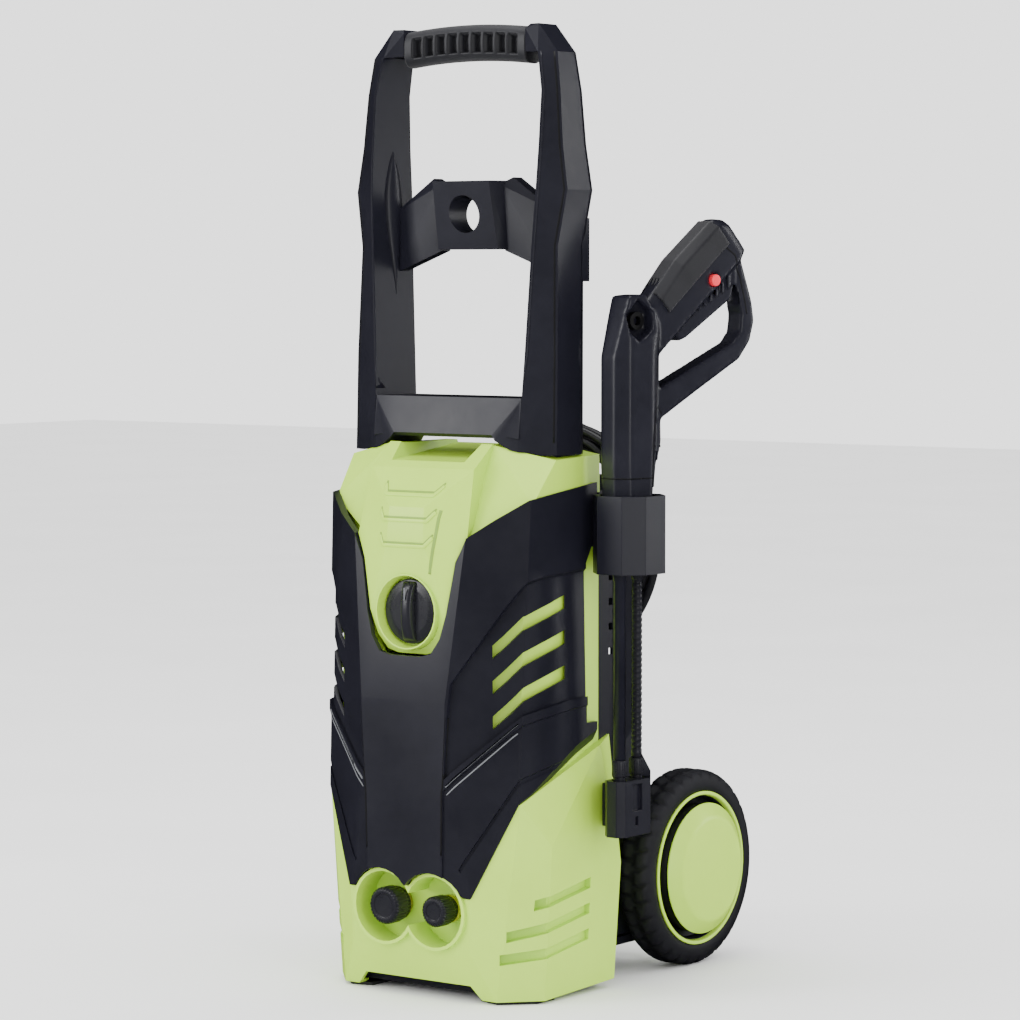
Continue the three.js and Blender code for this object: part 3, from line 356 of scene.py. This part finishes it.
def rounded(profile, radius, steps=3):
    """Rounds the inner corners of an open profile of (radius, level) pairs."""
    result = [profile[0]]
    for before, here, after in zip(profile, profile[1:], profile[2:]):
        p, q, r = Vector(before), Vector(here), Vector(after)
        cut = min(radius, (p - q).length * 0.45, (r - q).length * 0.45)
        start, end = q + (p - q).normalized() * cut, q + (r - q).normalized() * cut
        for k in range(steps + 1):
            t = k / steps
            result.append(tuple(start * (1 - t) ** 2 + q * 2 * t * (1 - t) + end * t * t))
    return result + [profile[-1]]


def soften(obj, width=1.0, angle=24, segments=2, flat=1.5):
    """Welds, merges flat triangles, and rounds the edges of a faceted solid."""
    weld = obj.modifiers.new("weld", "WELD")
    weld.merge_threshold = 2e-6
    plane = obj.modifiers.new("flat", "DECIMATE")
    plane.decimate_type = "DISSOLVE"
    plane.angle_limit = math.radians(flat)
    edge = obj.modifiers.new("edge", "BEVEL")
    edge.width = width / 1000
    edge.segments = segments
    edge.limit_method = "ANGLE"
    edge.angle_limit = math.radians(angle)
    edge.miter_outer = "MITER_ARC"
    edge.harden_normals = False
    even = obj.modifiers.new("even", "WEIGHTED_NORMAL")
    even.keep_sharp = False
    for face in obj.data.polygons:
        face.use_smooth = True
    return obj


def dress(node, material, width=1.0, angle=24):
    obj = NODES[node]
    paint(obj, material)
    if width:
        soften(obj, width, angle)
    return obj


def frozen(obj):
    """Applies every modifier of a new piece."""
    bpy.context.view_layer.update()
    graph = bpy.context.evaluated_depsgraph_get()
    mesh = bpy.data.meshes.new_from_object(obj.evaluated_get(graph))
    obj.modifiers.clear()
    obj.data = mesh
    return obj


def remeshed(name, node, voxel, rounds, factor=0.5):
    """A copy of a CAD node's shape with every edge melted into a smooth moulding."""
    source = NODES[node]
    obj = link(name, source.data.copy())
    grid = obj.modifiers.new("grid", "REMESH")
    grid.mode = "VOXEL"
    grid.voxel_size = voxel / 1000
    even = obj.modifiers.new("even", "SMOOTH")
    even.factor = factor
    even.iterations = rounds
    frozen(obj)
    for face in obj.data.polygons:
        face.use_smooth = True
    return obj


def surface_of(obj):
    bpy.context.view_layer.update()
    graph = bpy.context.evaluated_depsgraph_get()
    return BVHTree.FromObject(obj.evaluated_get(graph) if obj.modifiers else obj, graph)


def ribbon(name, tree, path, look, width, lift, material, body, spacing=2.0, sink=0.6, taper=0.0):
    """A raised strip that follows a surface: path points are thrown onto it along look."""
    look = Vector(look).normalized()
    dense = []
    for a, b in zip(path, path[1:]):
        steps = max(1, int((b - a).length * 1000 / spacing))
        dense += [a.lerp(b, k / steps) for k in range(steps)]
    dense.append(path[-1])
    rings = []
    for i, point in enumerate(dense):
        ahead = dense[min(i + 1, len(dense) - 1)] - dense[max(i - 1, 0)]
        side = ahead.cross(look).normalized()
        share = i / max(1, len(dense) - 1)
        half = width / 2000 * (1 - taper * abs(2 * share - 1) ** 2)
        section = [(-1, -sink), (-0.92, lift * 0.75), (-0.7, lift),
                   (0.7, lift), (0.92, lift * 0.75), (1, -sink)]
        ring = []
        for across, out in section:
            start = point + side * half * across - look * 0.06
            hit, normal, _, _ = tree.ray_cast(start, look, 0.12)
            if hit is None:
                ring = None
                break
            ring.append(hit + normal * (out / 1000))
        if ring:
            rings.append(ring)
    if len(rings) < 2:
        return None
    piece = loft(name, rings)
    paint(piece, material)
    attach(piece, body)
    return piece


def tube(name, path, radius, material, body, sides=10):
    """A thin round line through points in metres."""
    rings = []
    up = Vector((0.13, 0.21, 0.97)).normalized()
    for i, point in enumerate(path):
        along = (path[min(i + 1, len(path) - 1)] - path[max(i - 1, 0)]).normalized()
        a = along.cross(up).normalized()
        b = along.cross(a)
        rings.append([point + (a * math.cos(t) + b * math.sin(t)) * radius / 1000
                      for t in [2 * math.pi * k / sides for k in range(sides)]])
    piece = loft(name, rings)
    paint(piece, material)
    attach(piece, body)
    return piece


def mirrored(make):
    for side, label in ((-1, "left"), (1, "right")):
        make(side, label)


# ---------------------------------------------------------------- power cord
def cord_route():
    """Out of the gland, up into the coil on the hook, nine rooms of the bundle, and over its top."""
    lead = [(-40, 241.3, 252), (-40, 257, 251.5), (-40, 272.5, 247), (-40.5, 284, 236), (-42, 289, 221),
            (-46, 289.5, 205), (-57, 289, 193), (-74, 288, 188.5), (-90, 285, 192.5), (-102, 279.5, 204),
            (-108, 270, 222), (-109.5, 257, 246), (-109.5, 242, 272), (-109, 229, 298), (-108.5, 221.5, 322),
            (-107, 218.5, 345)]
    rooms = [(2, 0), (1, 0), (0, 0), (0, 1), (0, 2), (1, 2), (1, 1), (2, 1), (2, 2)]
    radius = (87.6, 96.4, 105.2)
    level = (-8.8, 0.0, 8.8)
    start, total, window, first = 168.0, 68.0 + 360 * 7, 30.0, 130.0
    turns = []
    angle = 0.0
    while angle <= total:
        place = (angle - first) / (360 - window)
        room = min(max(int(math.floor(place)) + 1, 0), len(rooms) - 1)
        into = (angle - first - (room - 1) * (360 - window)) / window
        blend = 1.0 if room == 0 or into >= 1 else 0.5 - 0.5 * math.cos(math.pi * max(into, 0))
        before = rooms[max(room - 1, 0)]
        after = rooms[room]
        r = radius[before[0]] * (1 - blend) + radius[after[0]] * blend
        y = level[before[1]] * (1 - blend) + level[after[1]] * blend
        turn = math.radians(start - angle)
        turns.append((r * math.cos(turn), COIL_Y + y, COIL_Z + r * math.sin(turn)))
        angle += 6.0
    tail = [(-2, 235, 493.4), (14.5, 238, 490.5), (26.2, 246, 481.5), (30, 251, 473.5), (31, 256.5, 465),
            (31, 260, 456), (31, 262, 446), (31, 262, 422), (31, 262, 400)]
    return lead, turns, tail


def smooth_path(points, spacing=3.0):
    """Catmull-Rom through points, resampled about evenly, in millimetres."""
    points = [Vector(p) for p in points]
    result = []
    for i in range(len(points) - 1):
        p0, p1, p2 = points[max(i - 1, 0)], points[i], points[i + 1]
        p3 = points[min(i + 2, len(points) - 1)]
        steps = max(1, round((p2 - p1).length / spacing))
        for k in range(steps):
            t = k / steps
            result.append(0.5 * (2 * p1 + (p2 - p0) * t + (2 * p0 - 5 * p1 + 4 * p2 - p3) * t * t
                                 + (3 * p1 - p0 - 3 * p2 + p3) * t ** 3))
    result.append(points[-1])
    return result


def make_cord():
    lead, turns, tail = cord_route()
    path = smooth_path(lead + turns + tail, 5.0)
    curve = bpy.data.curves.new("power_cord_line", "CURVE")
    curve.dimensions = "3D"
    curve.bevel_depth = CORD_R / 1000
    curve.bevel_resolution = 3
    curve.use_fill_caps = True
    line = curve.splines.new("POLY")
    line.points.add(len(path) - 1)
    for point, place in zip(line.points, path):
        point.co = (*at(*place), 1)
    line.use_smooth = True
    obj = link("power_cord_line", curve)
    curve.materials.append(CORD)
    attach(obj, "machine")
    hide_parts("power_cord", "cord_end", "cord_coil")
    return obj


def make_plug():
    x, y, top = 31, 262, 398

    def section(z, a, b, r):
        ring = []
        for k in range(40):
            t = 2 * math.pi * k / 40
            c, s = math.cos(t), math.sin(t)
            ring.append(at(x + math.copysign(abs(c) ** r, c) * a,
                           y + math.copysign(abs(s) ** r, s) * b, z))
        return ring

    rings = [section(top, 5.0, 5.0, 1.0)]
    for k in range(5):
        z = top - 1.5 - 3 * k
        rings += [section(z, 5.6 + 0.7 * k, 5.6 + 0.6 * k, 1),
                  section(z - 1.2, 5.6 + 0.7 * k, 5.6 + 0.6 * k, 1),
                  section(z - 1.5, 4.9 + 0.7 * k, 4.9 + 0.6 * k, 1),
                  section(z - 2.6, 5.0 + 0.7 * k, 5.0 + 0.6 * k, 1)]
    rings += [section(top - 18, 12, 11, 0.75), section(top - 24, 13, 11.6, 0.6),
              section(top - 33, 12.4, 11.2, 0.55), section(top - 40, 14, 13, 0.5),
              section(top - 45, 15, 14, 0.45), section(top - 47.4, 15, 14, 0.45),
              section(top - 48, 14.2, 13.2, 0.45)]
    body = loft("plug_moulding", rings)
    paint(body, CORD)
    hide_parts("plug_body")
    pieces = [body]
    for side, label in ((-1, "left"), (1, "right")):
        pin = lathe(f"plug_blade_{label}", "z", (x + side * 9.5, y, 0), rounded(
            [(0, top - 48.3), (2.4, top - 48.3), (2.4, top - 66), (1.6, top - 67), (0, top - 67)], 0.5), 24)
        paint(pin, BRASS)
        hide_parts(f"plug_pin_{label}")
        pieces.append(pin)
    for piece in pieces:
        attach(piece, "machine")
    return pieces


def make_tie():
    """A ribbed strap drawn round the bundle at the coil's lowest point."""
    z, half = COIL_Z - 98, 14.9
    outline = []
    for k in range(48):
        t = 2 * math.pi * k / 48
        c, s = math.cos(t), math.sin(t)
        outline.append((math.copysign(abs(c) ** 0.35, c) * half,
                        math.copysign(abs(s) ** 0.35, s) * half))
    rings = []
    for x in [-6.6, -6.2, -5.0, -4.6, -2.2, -1.8, 1.8, 2.2, 4.6, 5.0, 6.2, 6.6]:
        proud = 1.5 if abs(x) in (6.2, 5.0, 1.8) else (0.9 if abs(x) == 6.6 else 1.1)
        rings.append([at(x, COIL_Y + a * (1 + proud / half), z + b * (1 + proud / half))
                      for a, b in outline])
    for x in (6.4, -6.4):
        rings.append([at(x, COIL_Y + a, z + b) for a, b in outline])
    rings.append(rings[0])
    strap = loft("coil_strap", rings, closed_ends=False)
    paint(strap, SOFT)
    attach(strap, "machine")
    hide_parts("cord_tie")
    return strap


def make_gland():
    """Tapered strain relief with rings, over the collar that grips the shell."""
    y0 = 205
    profile = [(0, y0 - 14), (6.2, y0 - 14), (6.2, y0 + 0.3), (10.6, y0 + 0.3),
               (11, y0 + 1.4), (10.6, y0 + 3.6), (8.2, y0 + 4)]
    for k in range(7):
        y = y0 + 6 + 4.2 * k
        r = 8.0 - 0.42 * k
        profile += [(r, y), (r - 0.05, y + 2.4), (r - 1.3, y + 2.7), (r - 1.35, y + 3.9)]
    profile += [(4.6, y0 + 36), (0, y0 + 36)]
    gland = lathe("cord_strain_relief", "y", (-40, 0, 252), profile, 48)
    paint(gland, CORD)
    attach(gland, "machine")
    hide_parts("cord_gland")


CORD_LINE = make_cord()
PLUG = make_plug()
TIE = make_tie()
make_gland()


# ---------------------------------------------------------------- body shells
def dress_shells():
    dress("front_housing", GREEN, 1.6, 14)
    dress("top_panel", GREEN, 1.6, 12)
    dress("front_cover", BLACK, 1.3, 16)
    dress("rear_housing", BLACK, 1.6, 18)
    dress("chassis", BLACK, 1.0, 30)
    dress("handle_frame", BLACK, 2.0, 12)
    dress("cross_brace", BLACK, 1.6, 14)
    dress("gun_holder", BLACK, 1.4, 20)
    dress("lance_holder", BLACK, 1.2, 20)
    dress("cord_hook", BLACK, 1.6, 25)


def dress_inside():
    for node in ("motor_can", "pump_block"):
        dress(node, ALLOY, 0.8)
    for node in ("switch_box", "capacitor"):
        dress(node, GREY, 0.8)
    dress("cooling_fan", BLACK, 0)
    for node in ("axle", "axle_clip_left", "axle_clip_right", "rotor", "wobble_plate",
                 "plunger_1", "plunger_2", "plunger_3", "trigger_pin"):
        dress(node, STEEL, 0.3, 40)
    for node in ("outlet_pipe", "inlet_pipe", "gun_coupling"):
        dress(node, BRASS, 0.5, 35)
    # The gun's inlet is painted near-black as shade inside its cavity.
    dress("gun_inlet", SEAM_AND_SHADE, 0.4, 35)
    for node in ("front_foot_left", "front_foot_right"):
        dress(node, FOOT, 0.6, 25)


dress_shells()
dress_inside()


# ---------------------------------------------------------------- wheels
def make_tyre(side, label):
    mid, half = (WHEEL_IN + WHEEL_OUT) / 2, (WHEEL_OUT - WHEEL_IN) / 2
    outline = [(69.4, -0.86), (71, -0.95), (75, -1.0), (80, -0.97), (84.5, -0.9), (87.4, -0.78),
               (88.9, -0.62), (89.5, -0.45), (89.5, -0.28), (89.5, -0.12), (89.5, 0.12), (89.5, 0.28),
               (89.5, 0.45), (88.9, 0.62), (87.4, 0.78), (84.5, 0.9), (80, 0.97), (75, 1.0),
               (71, 0.95), (69.4, 0.86), (69.4, -0.86)]
    profile = [(r, side * (mid + share * half)) for r, share in outline]

    def tread(j, turn):
        radius, share = outline[j]
        if radius < 86.5:
            return -0.5 if 78 < radius < 82 else 0.0
        phase = (turn * 34 / (2 * math.pi) + 0.5 * (share > 0) + abs(share) * 0.35) % 1.0
        cut = 2.4 if phase < 0.26 and abs(share) > 0.2 else 0.0
        return -cut - (1.8 if abs(share) < 0.15 else 0.0)

    tyre = lathe(f"tyre_tread_{label}", "x", (0, AXLE_Y, AXLE_Z), profile, 408, tread)
    paint(tyre, TYRE)
    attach(tyre, f"{label}_wheel")
    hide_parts(f"tyre_{label}")


def turned_on_axle(name, side, label, outline, material):
    """A ring or cap of the wheel, from a profile of (radius, distance from the mid-plane)."""
    piece = lathe(f"{name}_{label}", "x", (0, AXLE_Y, AXLE_Z), [(r, side * x) for r, x in outline], 128)
    paint(piece, material)
    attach(piece, f"{label}_wheel")
    return piece


def make_rim(side, label):
    dish = rounded([
        (6.6, WHEEL_IN - 2), (15, WHEEL_IN - 2), (15, DISC - 1), (60, DISC - 1),
        (64, WHEEL_IN + 3), (69, WHEEL_IN + 3), (69, WHEEL_OUT - 2), (70.4, WHEEL_OUT - 0.8),
        (70, WHEEL_OUT + 0.9), (67.2, WHEEL_OUT + 0.9), (66.4, WHEEL_OUT - 1), (64.5, DISC + 6),
        (15, DISC + 6), (15, DISC + 7.6), (6.6, DISC + 7.6),
    ], 1.2, 3)
    rim = turned_on_axle("rim_dish", side, label, dish, GREEN)
    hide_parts(f"rim_{label}")
    # The floor of the dish between the rim and the cap is painted black as shade in the deep gap there.
    floor = rounded([
        (55, DISC + 6.2), (65.2, DISC + 6.2), (66.2, WHEEL_OUT - 3.4), (65.4, WHEEL_OUT - 3.4),
        (64.2, DISC + 7), (55, DISC + 7), (55, DISC + 6.2),
    ], 0.3)
    turned_on_axle("rim_well_shade", side, label, floor, BLACK)


def make_hub_cap(side, label):
    dome = rounded([
        (20, WHEEL_OUT + 1), (56, WHEEL_OUT + 1), (59.6, WHEEL_OUT + 3.2), (60, WHEEL_OUT + 4.6),
        (48.5, WHEEL_OUT + 12.8), (46, WHEEL_OUT + 13.5), (22, WHEEL_OUT + 13.8), (0, WHEEL_OUT + 13.8),
    ], 1.2, 4)
    cap = turned_on_axle("hub_dome", side, label, dome, GREEN)
    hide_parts(f"hub_cap_{label}")
    # The cap stands clear of the disc on a skirt painted near-black, as shade in the gap under its rim.
    skirt = [
        (20, DISC + 6.4), (57.4, DISC + 6.4), (58.6, DISC + 7.6),
        (58.6, WHEEL_OUT + 1.2), (20, WHEEL_OUT + 1.2),
    ]
    turned_on_axle("hub_gap_shade", side, label, skirt, SEAM_AND_SHADE)


mirrored(make_tyre)
mirrored(make_rim)
mirrored(make_hub_cap)


# ---------------------------------------------------------------- handle
def leg_line(side, pick):
    """Points down one corner of a handle leg: pick gives (half-width, y) from a section."""
    sections = [(0, 111, 64.6, 79, 51, 106), (86, 110.5, 66.5, 82, 57, 108),
                (180, 108, 70, 87, 60, 110), (229, 116, 73, 90, 62, 113),
                (268, 110, 74.5, 91, 65, 112), (315, 106, 76.5, 91, 69, 111),
                (348, 101, 79, 85, 72, 109)]
    return [at(side * pick(s)[0], pick(s)[1], 475 + s[0]) for s in sections]


def make_leg_details(side, label):
    tree = surface_of(NODES["handle_frame"])
    edge = leg_line(side, lambda s: (s[1] - 2.6, s[2]))
    edge[0] = at(side * 108.4, 64.2, 486)
    ribbon(f"leg_seam_{label}", tree, edge, (0, 1, 0), 1.5, 0.12, SEAM_AND_SHADE, "machine", 6)
    inner = leg_line(side, lambda s: (s[3] + 2.5, s[4] + 0.4))
    inner[0] = at(side * 80.4, 51.5, 530)
    ribbon(f"leg_bead_{label}", tree, inner, (0, 1, 0), 1.3, 0.35, BLACK, "machine", 6)
    # A leaf-shaped boss stands on the inner face, widest above its middle.
    rings = []
    for i in range(33):
        share = i / 32
        swell = math.sin(math.pi * share ** 1.4)
        wide, high = 0.4 + 10.5 * swell ** 0.9, 0.2 + 4.2 * swell ** 0.7
        z, middle = 613 + share * 128, 86 + 3 * share
        face = tree.ray_cast(at(0, middle, z), Vector((side, 0, 0)), 0.2)[0]
        half = abs((face - ORIGIN).x * 1000)
        ring = []
        for k in range(17):
            t = math.pi * k / 16
            y = middle + wide * math.cos(t)
            ring.append(at(
                side * (half + 0.1 * (middle - y) + 2.0 - (high + 2.0) * math.sin(t) ** 0.8), y, z))
        rings.append(ring)
    leaf = loft(f"leg_leaf_{label}", rings)
    paint(leaf, BLACK)
    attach(leaf, "machine")


mirrored(make_leg_details)


def make_grip():
    """Top grip: a soft crowned bar with nine pressed cells along its front."""
    half, pitch = 66.4, 13.2
    rings = []
    stations = [-half + 2 * half * i / 150 for i in range(151)]
    for x in stations:
        lift = 4 * (1 - (x / half) ** 2)
        ring = []
        for k in range(64):
            t = 2 * math.pi * k / 64
            c, s = math.cos(t), math.sin(t)
            y = 91 + 13 * math.copysign(abs(c) ** 0.75, c)
            z = HANDLE_TOP - 20 + lift + 16 * math.copysign(abs(s) ** 0.75, s)
            if c < -0.2:
                cell = abs(x - (round((x + pitch * 4) / pitch) * pitch - pitch * 4))
                inside = min(max((5.1 - cell) / 0.9, 0), 1) if abs(x) < pitch * 4.6 else 0
                rows = min(max((8.6 - abs(z - (HANDLE_TOP - 20.5 + lift))) / 1.0, 0), 1)
                y += 7.5 * inside * rows
            ring.append(at(x, y, z))
        rings.append(ring)
    grip = loft("grip_crown", rings)
    paint(grip, SOFT)
    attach(grip, "machine")
    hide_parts("grip_bar")


make_grip()


def make_screws(side, label):
    x, z, back = side * 94, 458, 127
    head = lathe(f"screw_head_{label}", "y", (x, 0, z), rounded([
        (0, back + 1.6), (1.1, back + 1.6), (1.3, back + 2.6), (2.8, back + 2.5), (4.1, back + 1.4),
        (4.2, back + 0.3), (1.9, back + 0.2), (1.9, 86), (0, 85)], 0.25), 32)
    paint(head, STEEL)
    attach(head, "machine")
    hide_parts(f"handle_screw_{label}")


mirrored(make_screws)


# ---------------------------------------------------------------- dial, caps and fittings
def make_dial():
    disc = lathe("dial_disc", "y", (0, 0, DIAL_Z), rounded([
        (0, 0.2), (20, 0.2), (24, 0.8), (27.6, 1.2), (28.5, 2.4), (28.5, 6.5), (4, 6.6), (4, 38),
        (0, 38)], 0.9), 180,
        lambda j, turn: -0.45 if 15 < j < 24 and (turn * 45 / math.pi) % 1 < 0.35 else 0.0)
    rings = []
    for i in range(33):
        share = i / 32
        z = DIAL_Z - 26.5 + 53 * share
        end = math.sin(math.pi * share) ** 0.35 if 0 < share < 1 else 0
        wide, high = 7.4 - 1.2 * end, 9.6 * end
        ring = []
        for k in range(21):
            t = math.pi * k / 20
            c, s = math.cos(t), math.sin(t)
            ring.append(at(math.copysign(abs(c) ** 0.6, c) * wide,
                           2.2 - high * s ** 0.55 if s > 0 else 2.2, z))
        rings.append(ring)
    ridge = loft("dial_ridge", rings)
    mark = loft("dial_pointer", [[at(x, -7.65, z), at(x, -7.2, z), at(-x, -7.2, z), at(-x, -7.65, z)]
                                 for x, z in ((0.7, DIAL_Z + 10), (0.7, DIAL_Z + 21))])
    paint(mark, GREY)
    for piece in (disc, ridge):
        paint(piece, SATIN)
    for piece in (disc, ridge, mark):
        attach(piece, "switch_dial")
    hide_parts("dial_knob")
    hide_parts("dial_knob")


def make_caps():
    for x, name, radius in ((-SOCKET_X, "outlet", 16.5), (SOCKET_X, "inlet", 13.5)):
        def knurl(j, turn, count=30):
            return -0.7 if 4 < j < 26 and (turn * count / (2 * math.pi)) % 1 < 0.4 else 0.0
        cap = lathe(f"{name}_cap_shell", "y", (x, 0, SOCKET_Z), rounded([
            (0, -2.2), (radius - 6, -2.2), (radius - 5, -3), (radius - 2, -3), (radius, -1),
            (radius, 12), (radius - 1.4, 13), (radius - 1.4, 17.8), (10.2, 17.8), (10.2, 3.2),
            (0, 3.2)], 0.8), 180, knurl)
        paint(cap, SATIN)
        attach(cap, f"{name}_cap")
        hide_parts(f"{name}_cap")
        thread = [(6.1, 4)]
        for k in range(9):
            thread += [(8.7, 4.4 + 1.6 * k), (9.45, 5.0 + 1.6 * k),
                       (9.45, 5.4 + 1.6 * k), (8.7, 5.9 + 1.6 * k)]
        thread += [(9.3, 19), (12.2, 19.2), (12.2, 23.6), (9.3, 23.7), (9.3, 28.5), (0, 28.5),
                   (0, 22), (6, 22), (6.1, 4)]
        fitting = lathe(f"{name}_thread", "y", (x, 0, SOCKET_Z), thread, 72)
        paint(fitting, BRASS)
        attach(fitting, "machine")
        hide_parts(f"{name}_fitting")


make_dial()
make_caps()


# ---------------------------------------------------------------- badge and cover lines
def make_chevrons():
    tree = surface_of(NODES["top_panel"])
    # Each chevron is a raised green band with a thin dark-green line just above it, painted shade.
    for i, (z, half) in enumerate(((443, 32), (421, 30), (399, 28.7))):
        for drop, lift, material, name in ((0, 0.35, SHADE_GREEN, "line"), (-2.6, 0.7, GREEN, "band")):
            path = [at(x, 0, zz + drop) for x, zz in
                    ((-half, z + 8), (-half + 4, z), (half - 8, z), (half, z + 8))]
            width = 1.6 if name == "line" else 3.2
            ribbon(f"chevron_{name}_{i + 1}", tree, path, (0, 1, 0), width, lift, material,
                   "machine", 1.0)
    # A dark-green strip painted along the badge's side step stands in for the shade there.
    path = [at(34, 0, 428), at(31, 0, 405), at(26, 0, 373)]
    ribbon("badge_step_shade", tree, path, (0, 1, 0), 3.0, 0.3, SHADE_GREEN,
           "machine", 2.0)


def make_cover_lines(side, label):
    tree = surface_of(NODES["front_cover"])
    # A near-black strip down each side is painted shade in the cover's crease.
    groove = [at(side * x, 0, z) for x, z in ((47, 250), (43, 190), (42, 186), (41, 130))]
    ribbon(f"cover_crease_shade_{label}", tree, groove, (0, 1, 0), 1.6, 0.25, SEAM_AND_SHADE,
           "machine", 3.0)
    for shift in (0, -7):
        line = [at(side * x, y, z + shift) for x, y, z in
                ((46, 0, 190), (76, 4, 219), (103, 22, 245))]
        ribbon(f"cover_accent_{label}_{-shift}", tree, line, (0, 1, 0), 1.2, 0.45, GREY,
               "machine", 3.0)


make_chevrons()
mirrored(make_cover_lines)


# ---------------------------------------------------------------- spray gun
def make_gun():
    body = remeshed("gun_moulding", "gun_body", 1.7, 7)
    paint(body, DARK)
    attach(body, "spray_gun")
    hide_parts("gun_body")
    pad = remeshed("gun_overmould", "gun_grip_pad", 1.0, 3)
    paint(pad, SOFT)
    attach(pad, "spray_gun")
    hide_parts("gun_grip_pad")
    trigger = remeshed("gun_lever", "gun_trigger", 1.2, 4)
    paint(trigger, DARK)
    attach(trigger, "gun_trigger")
    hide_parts("gun_trigger")
    return body


def gun_facing():
    """Towards the gun's flat side, from the side that faces out and forward."""
    return (at_gun(0, 1, 0) - at_gun(0, 0, 0)).normalized()


def make_gun_details(body):
    tree = surface_of(body)
    look = gun_facing()
    seam = [at_gun(-2 + 27 * math.sin(t), -23 * math.cos(t), 455)
            for t in [math.radians(a) for a in range(0, 361, 6)]]
    hits = []
    middle = at_gun(-2, 0, 455)
    for point in seam:
        out = (point - middle).normalized()
        hit, normal, _, _ = tree.ray_cast(middle + out * 0.08, -out, 0.1)
        if hit:
            hits.append(hit - normal * 0.00025)
    tube("gun_joint_line", hits, 0.7, SEAM_AND_SHADE, "spray_gun", 8)
    rest = [at_gun(u, -20, z) for u, z in
            ((11, 449), (11, 486), (13, 500), (18, 512), (24, 516), (29, 510))]
    ribbon("thumb_rest_line", tree, rest, look, 1.3, 0.1, SEAM_AND_SHADE, "spray_gun", 2.0)
    for i, u in enumerate((14.5, 18.5, 22.5, 26)):
        rib = [at_gun(u, -20, 447), at_gun(u + 1.2, -20, 468 + 5 * (i % 2)),
               at_gun(u + 1.4, -20, 478 + 5 * (i % 2))]
        ribbon(f"thumb_rest_rib_{i + 1}", tree, rib, look, 2.0, 0.9, DARK,
               "spray_gun", 2.0, taper=0.5)
    guard = [at_gun(u, -20, z) for u, z in ((101, 655), (112, 648), (121, 628), (127, 606), (129, 596))]
    ribbon("guard_line", tree, guard, look, 1.6, 0.1, SEAM_AND_SHADE, "spray_gun", 2.0)


def make_lock():
    button = lathe("lock_button", "y", (0, 0, 0), rounded([
        (0, -16.9), (3.6, -16.9), (5.0, -16.2), (5.2, -15), (5.2, 13), (4.6, 13.8), (0, 14)], 0.5), 48)
    place = (Matrix.Translation(at_gun(87, 0, 626)) @ Matrix.Rotation(GUN_SWING, 4, "Z")
             @ Matrix.Translation(-ORIGIN))
    button.data.transform(place)
    paint(button, RED)
    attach(button, "trigger_lock")
    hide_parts("trigger_lock")


GUN_BODY = make_gun()
make_gun_details(GUN_BODY)
make_lock()


# ---------------------------------------------------------------- lances
def make_lances():
    for i, y in enumerate((104, 130)):
        r = 5.3 - 0.6 * i
        profile = [(0, 210), (r, 210)]
        if i:
            for k in range(30):
                z = 214 + 5 * k
                profile += [(r, z), (r, z + 3), (r - 0.5, z + 3.4), (r - 0.5, z + 4.6)]
        profile += [(r, 366), (r + 0.7, 366.4), (r + 0.7, 375.6), (r, 376), (r - 0.4, 380), (0, 380)]
        tube_piece = lathe(f"lance_tube_{i + 1}", "z", (GUN_X, y, 0), profile, 48)
        paint(tube_piece, SATIN if i else DARK)
        tip = lathe(f"lance_nozzle_{i + 1}", "z", (GUN_X, y, 0), rounded([
            (0, 180), (2.2, 180), (2.4, 178), (4.6, 178), (5.3, 180), (5.3, 194.6), (6.6, 195.4),
            (6.6, 208.6), (5.6, 209.6), (0, 209.7)], 0.4), 60,
            lambda j, turn: -0.5 if 18 < j < 30 and (turn * 12 / math.pi) % 1 < 0.4 else 0.0)
        paint(tip, SATIN)
        body = "rear_lance" if i else "front_lance"
        for piece, node in ((tube_piece, f"lance_{i + 1}"), (tip, f"lance_tip_{i + 1}")):
            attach(piece, body)
            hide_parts(node)


make_lances()


# ---------------------------------------------------------------- floor and light
def make_stage():
    floor = mesh_object("floor", [(-9, -9, 0), (9, -9, 0), (9, 9, 0), (-9, 9, 0)],
                        [(0, 1, 2, 3)], smooth=False)
    s = Shader("pale_floor")
    paper = s.noise(3, 2)
    floor.data.materials.append(s.set(
        Base_Color=s.ramp(paper, 0.3, 0.7, (0.9, 0.9, 0.9), (0.93, 0.93, 0.93)), Roughness=0.7,
    ))
    world = bpy.data.worlds.new("studio")
    world.use_nodes = True
    world.node_tree.nodes["Background"].inputs[0].default_value = (1, 1, 1, 1)
    world.node_tree.nodes["Background"].inputs[1].default_value = 2.15
    # Plastic mirrors the soft boxes only, so that dark faces stay dark.
    world.cycles_visibility.glossy = False
    floor.visible_glossy = False
    bpy.context.scene.world = world


def add_light(name, place, aim, size, power):
    data = bpy.data.lights.new(name, "AREA")
    data.shape = "RECTANGLE"
    data.size, data.size_y = size
    data.energy = power
    lamp = link(name, data)
    lamp.location = place
    lamp.rotation_euler = (Vector(aim) - Vector(place)).to_track_quat("-Z", "Y").to_euler()


make_stage()
add_light("front_box", (-1.7, -2.4, 1.3), (0, 0, 0.45), (0.9, 1.8), 44)
add_light("side_strip", (2.65, -1.4, 0.9), (0, 0, 0.4), (0.3, 1.9), 20)
add_light("back_strip", (1.9, 2.3, 1.0), (0, 0, 0.45), (0.3, 1.9), 16)
add_light("top_box", (-0.2, -0.4, 2.9), (0, 0, 0.4), (1.4, 1.4), 34)
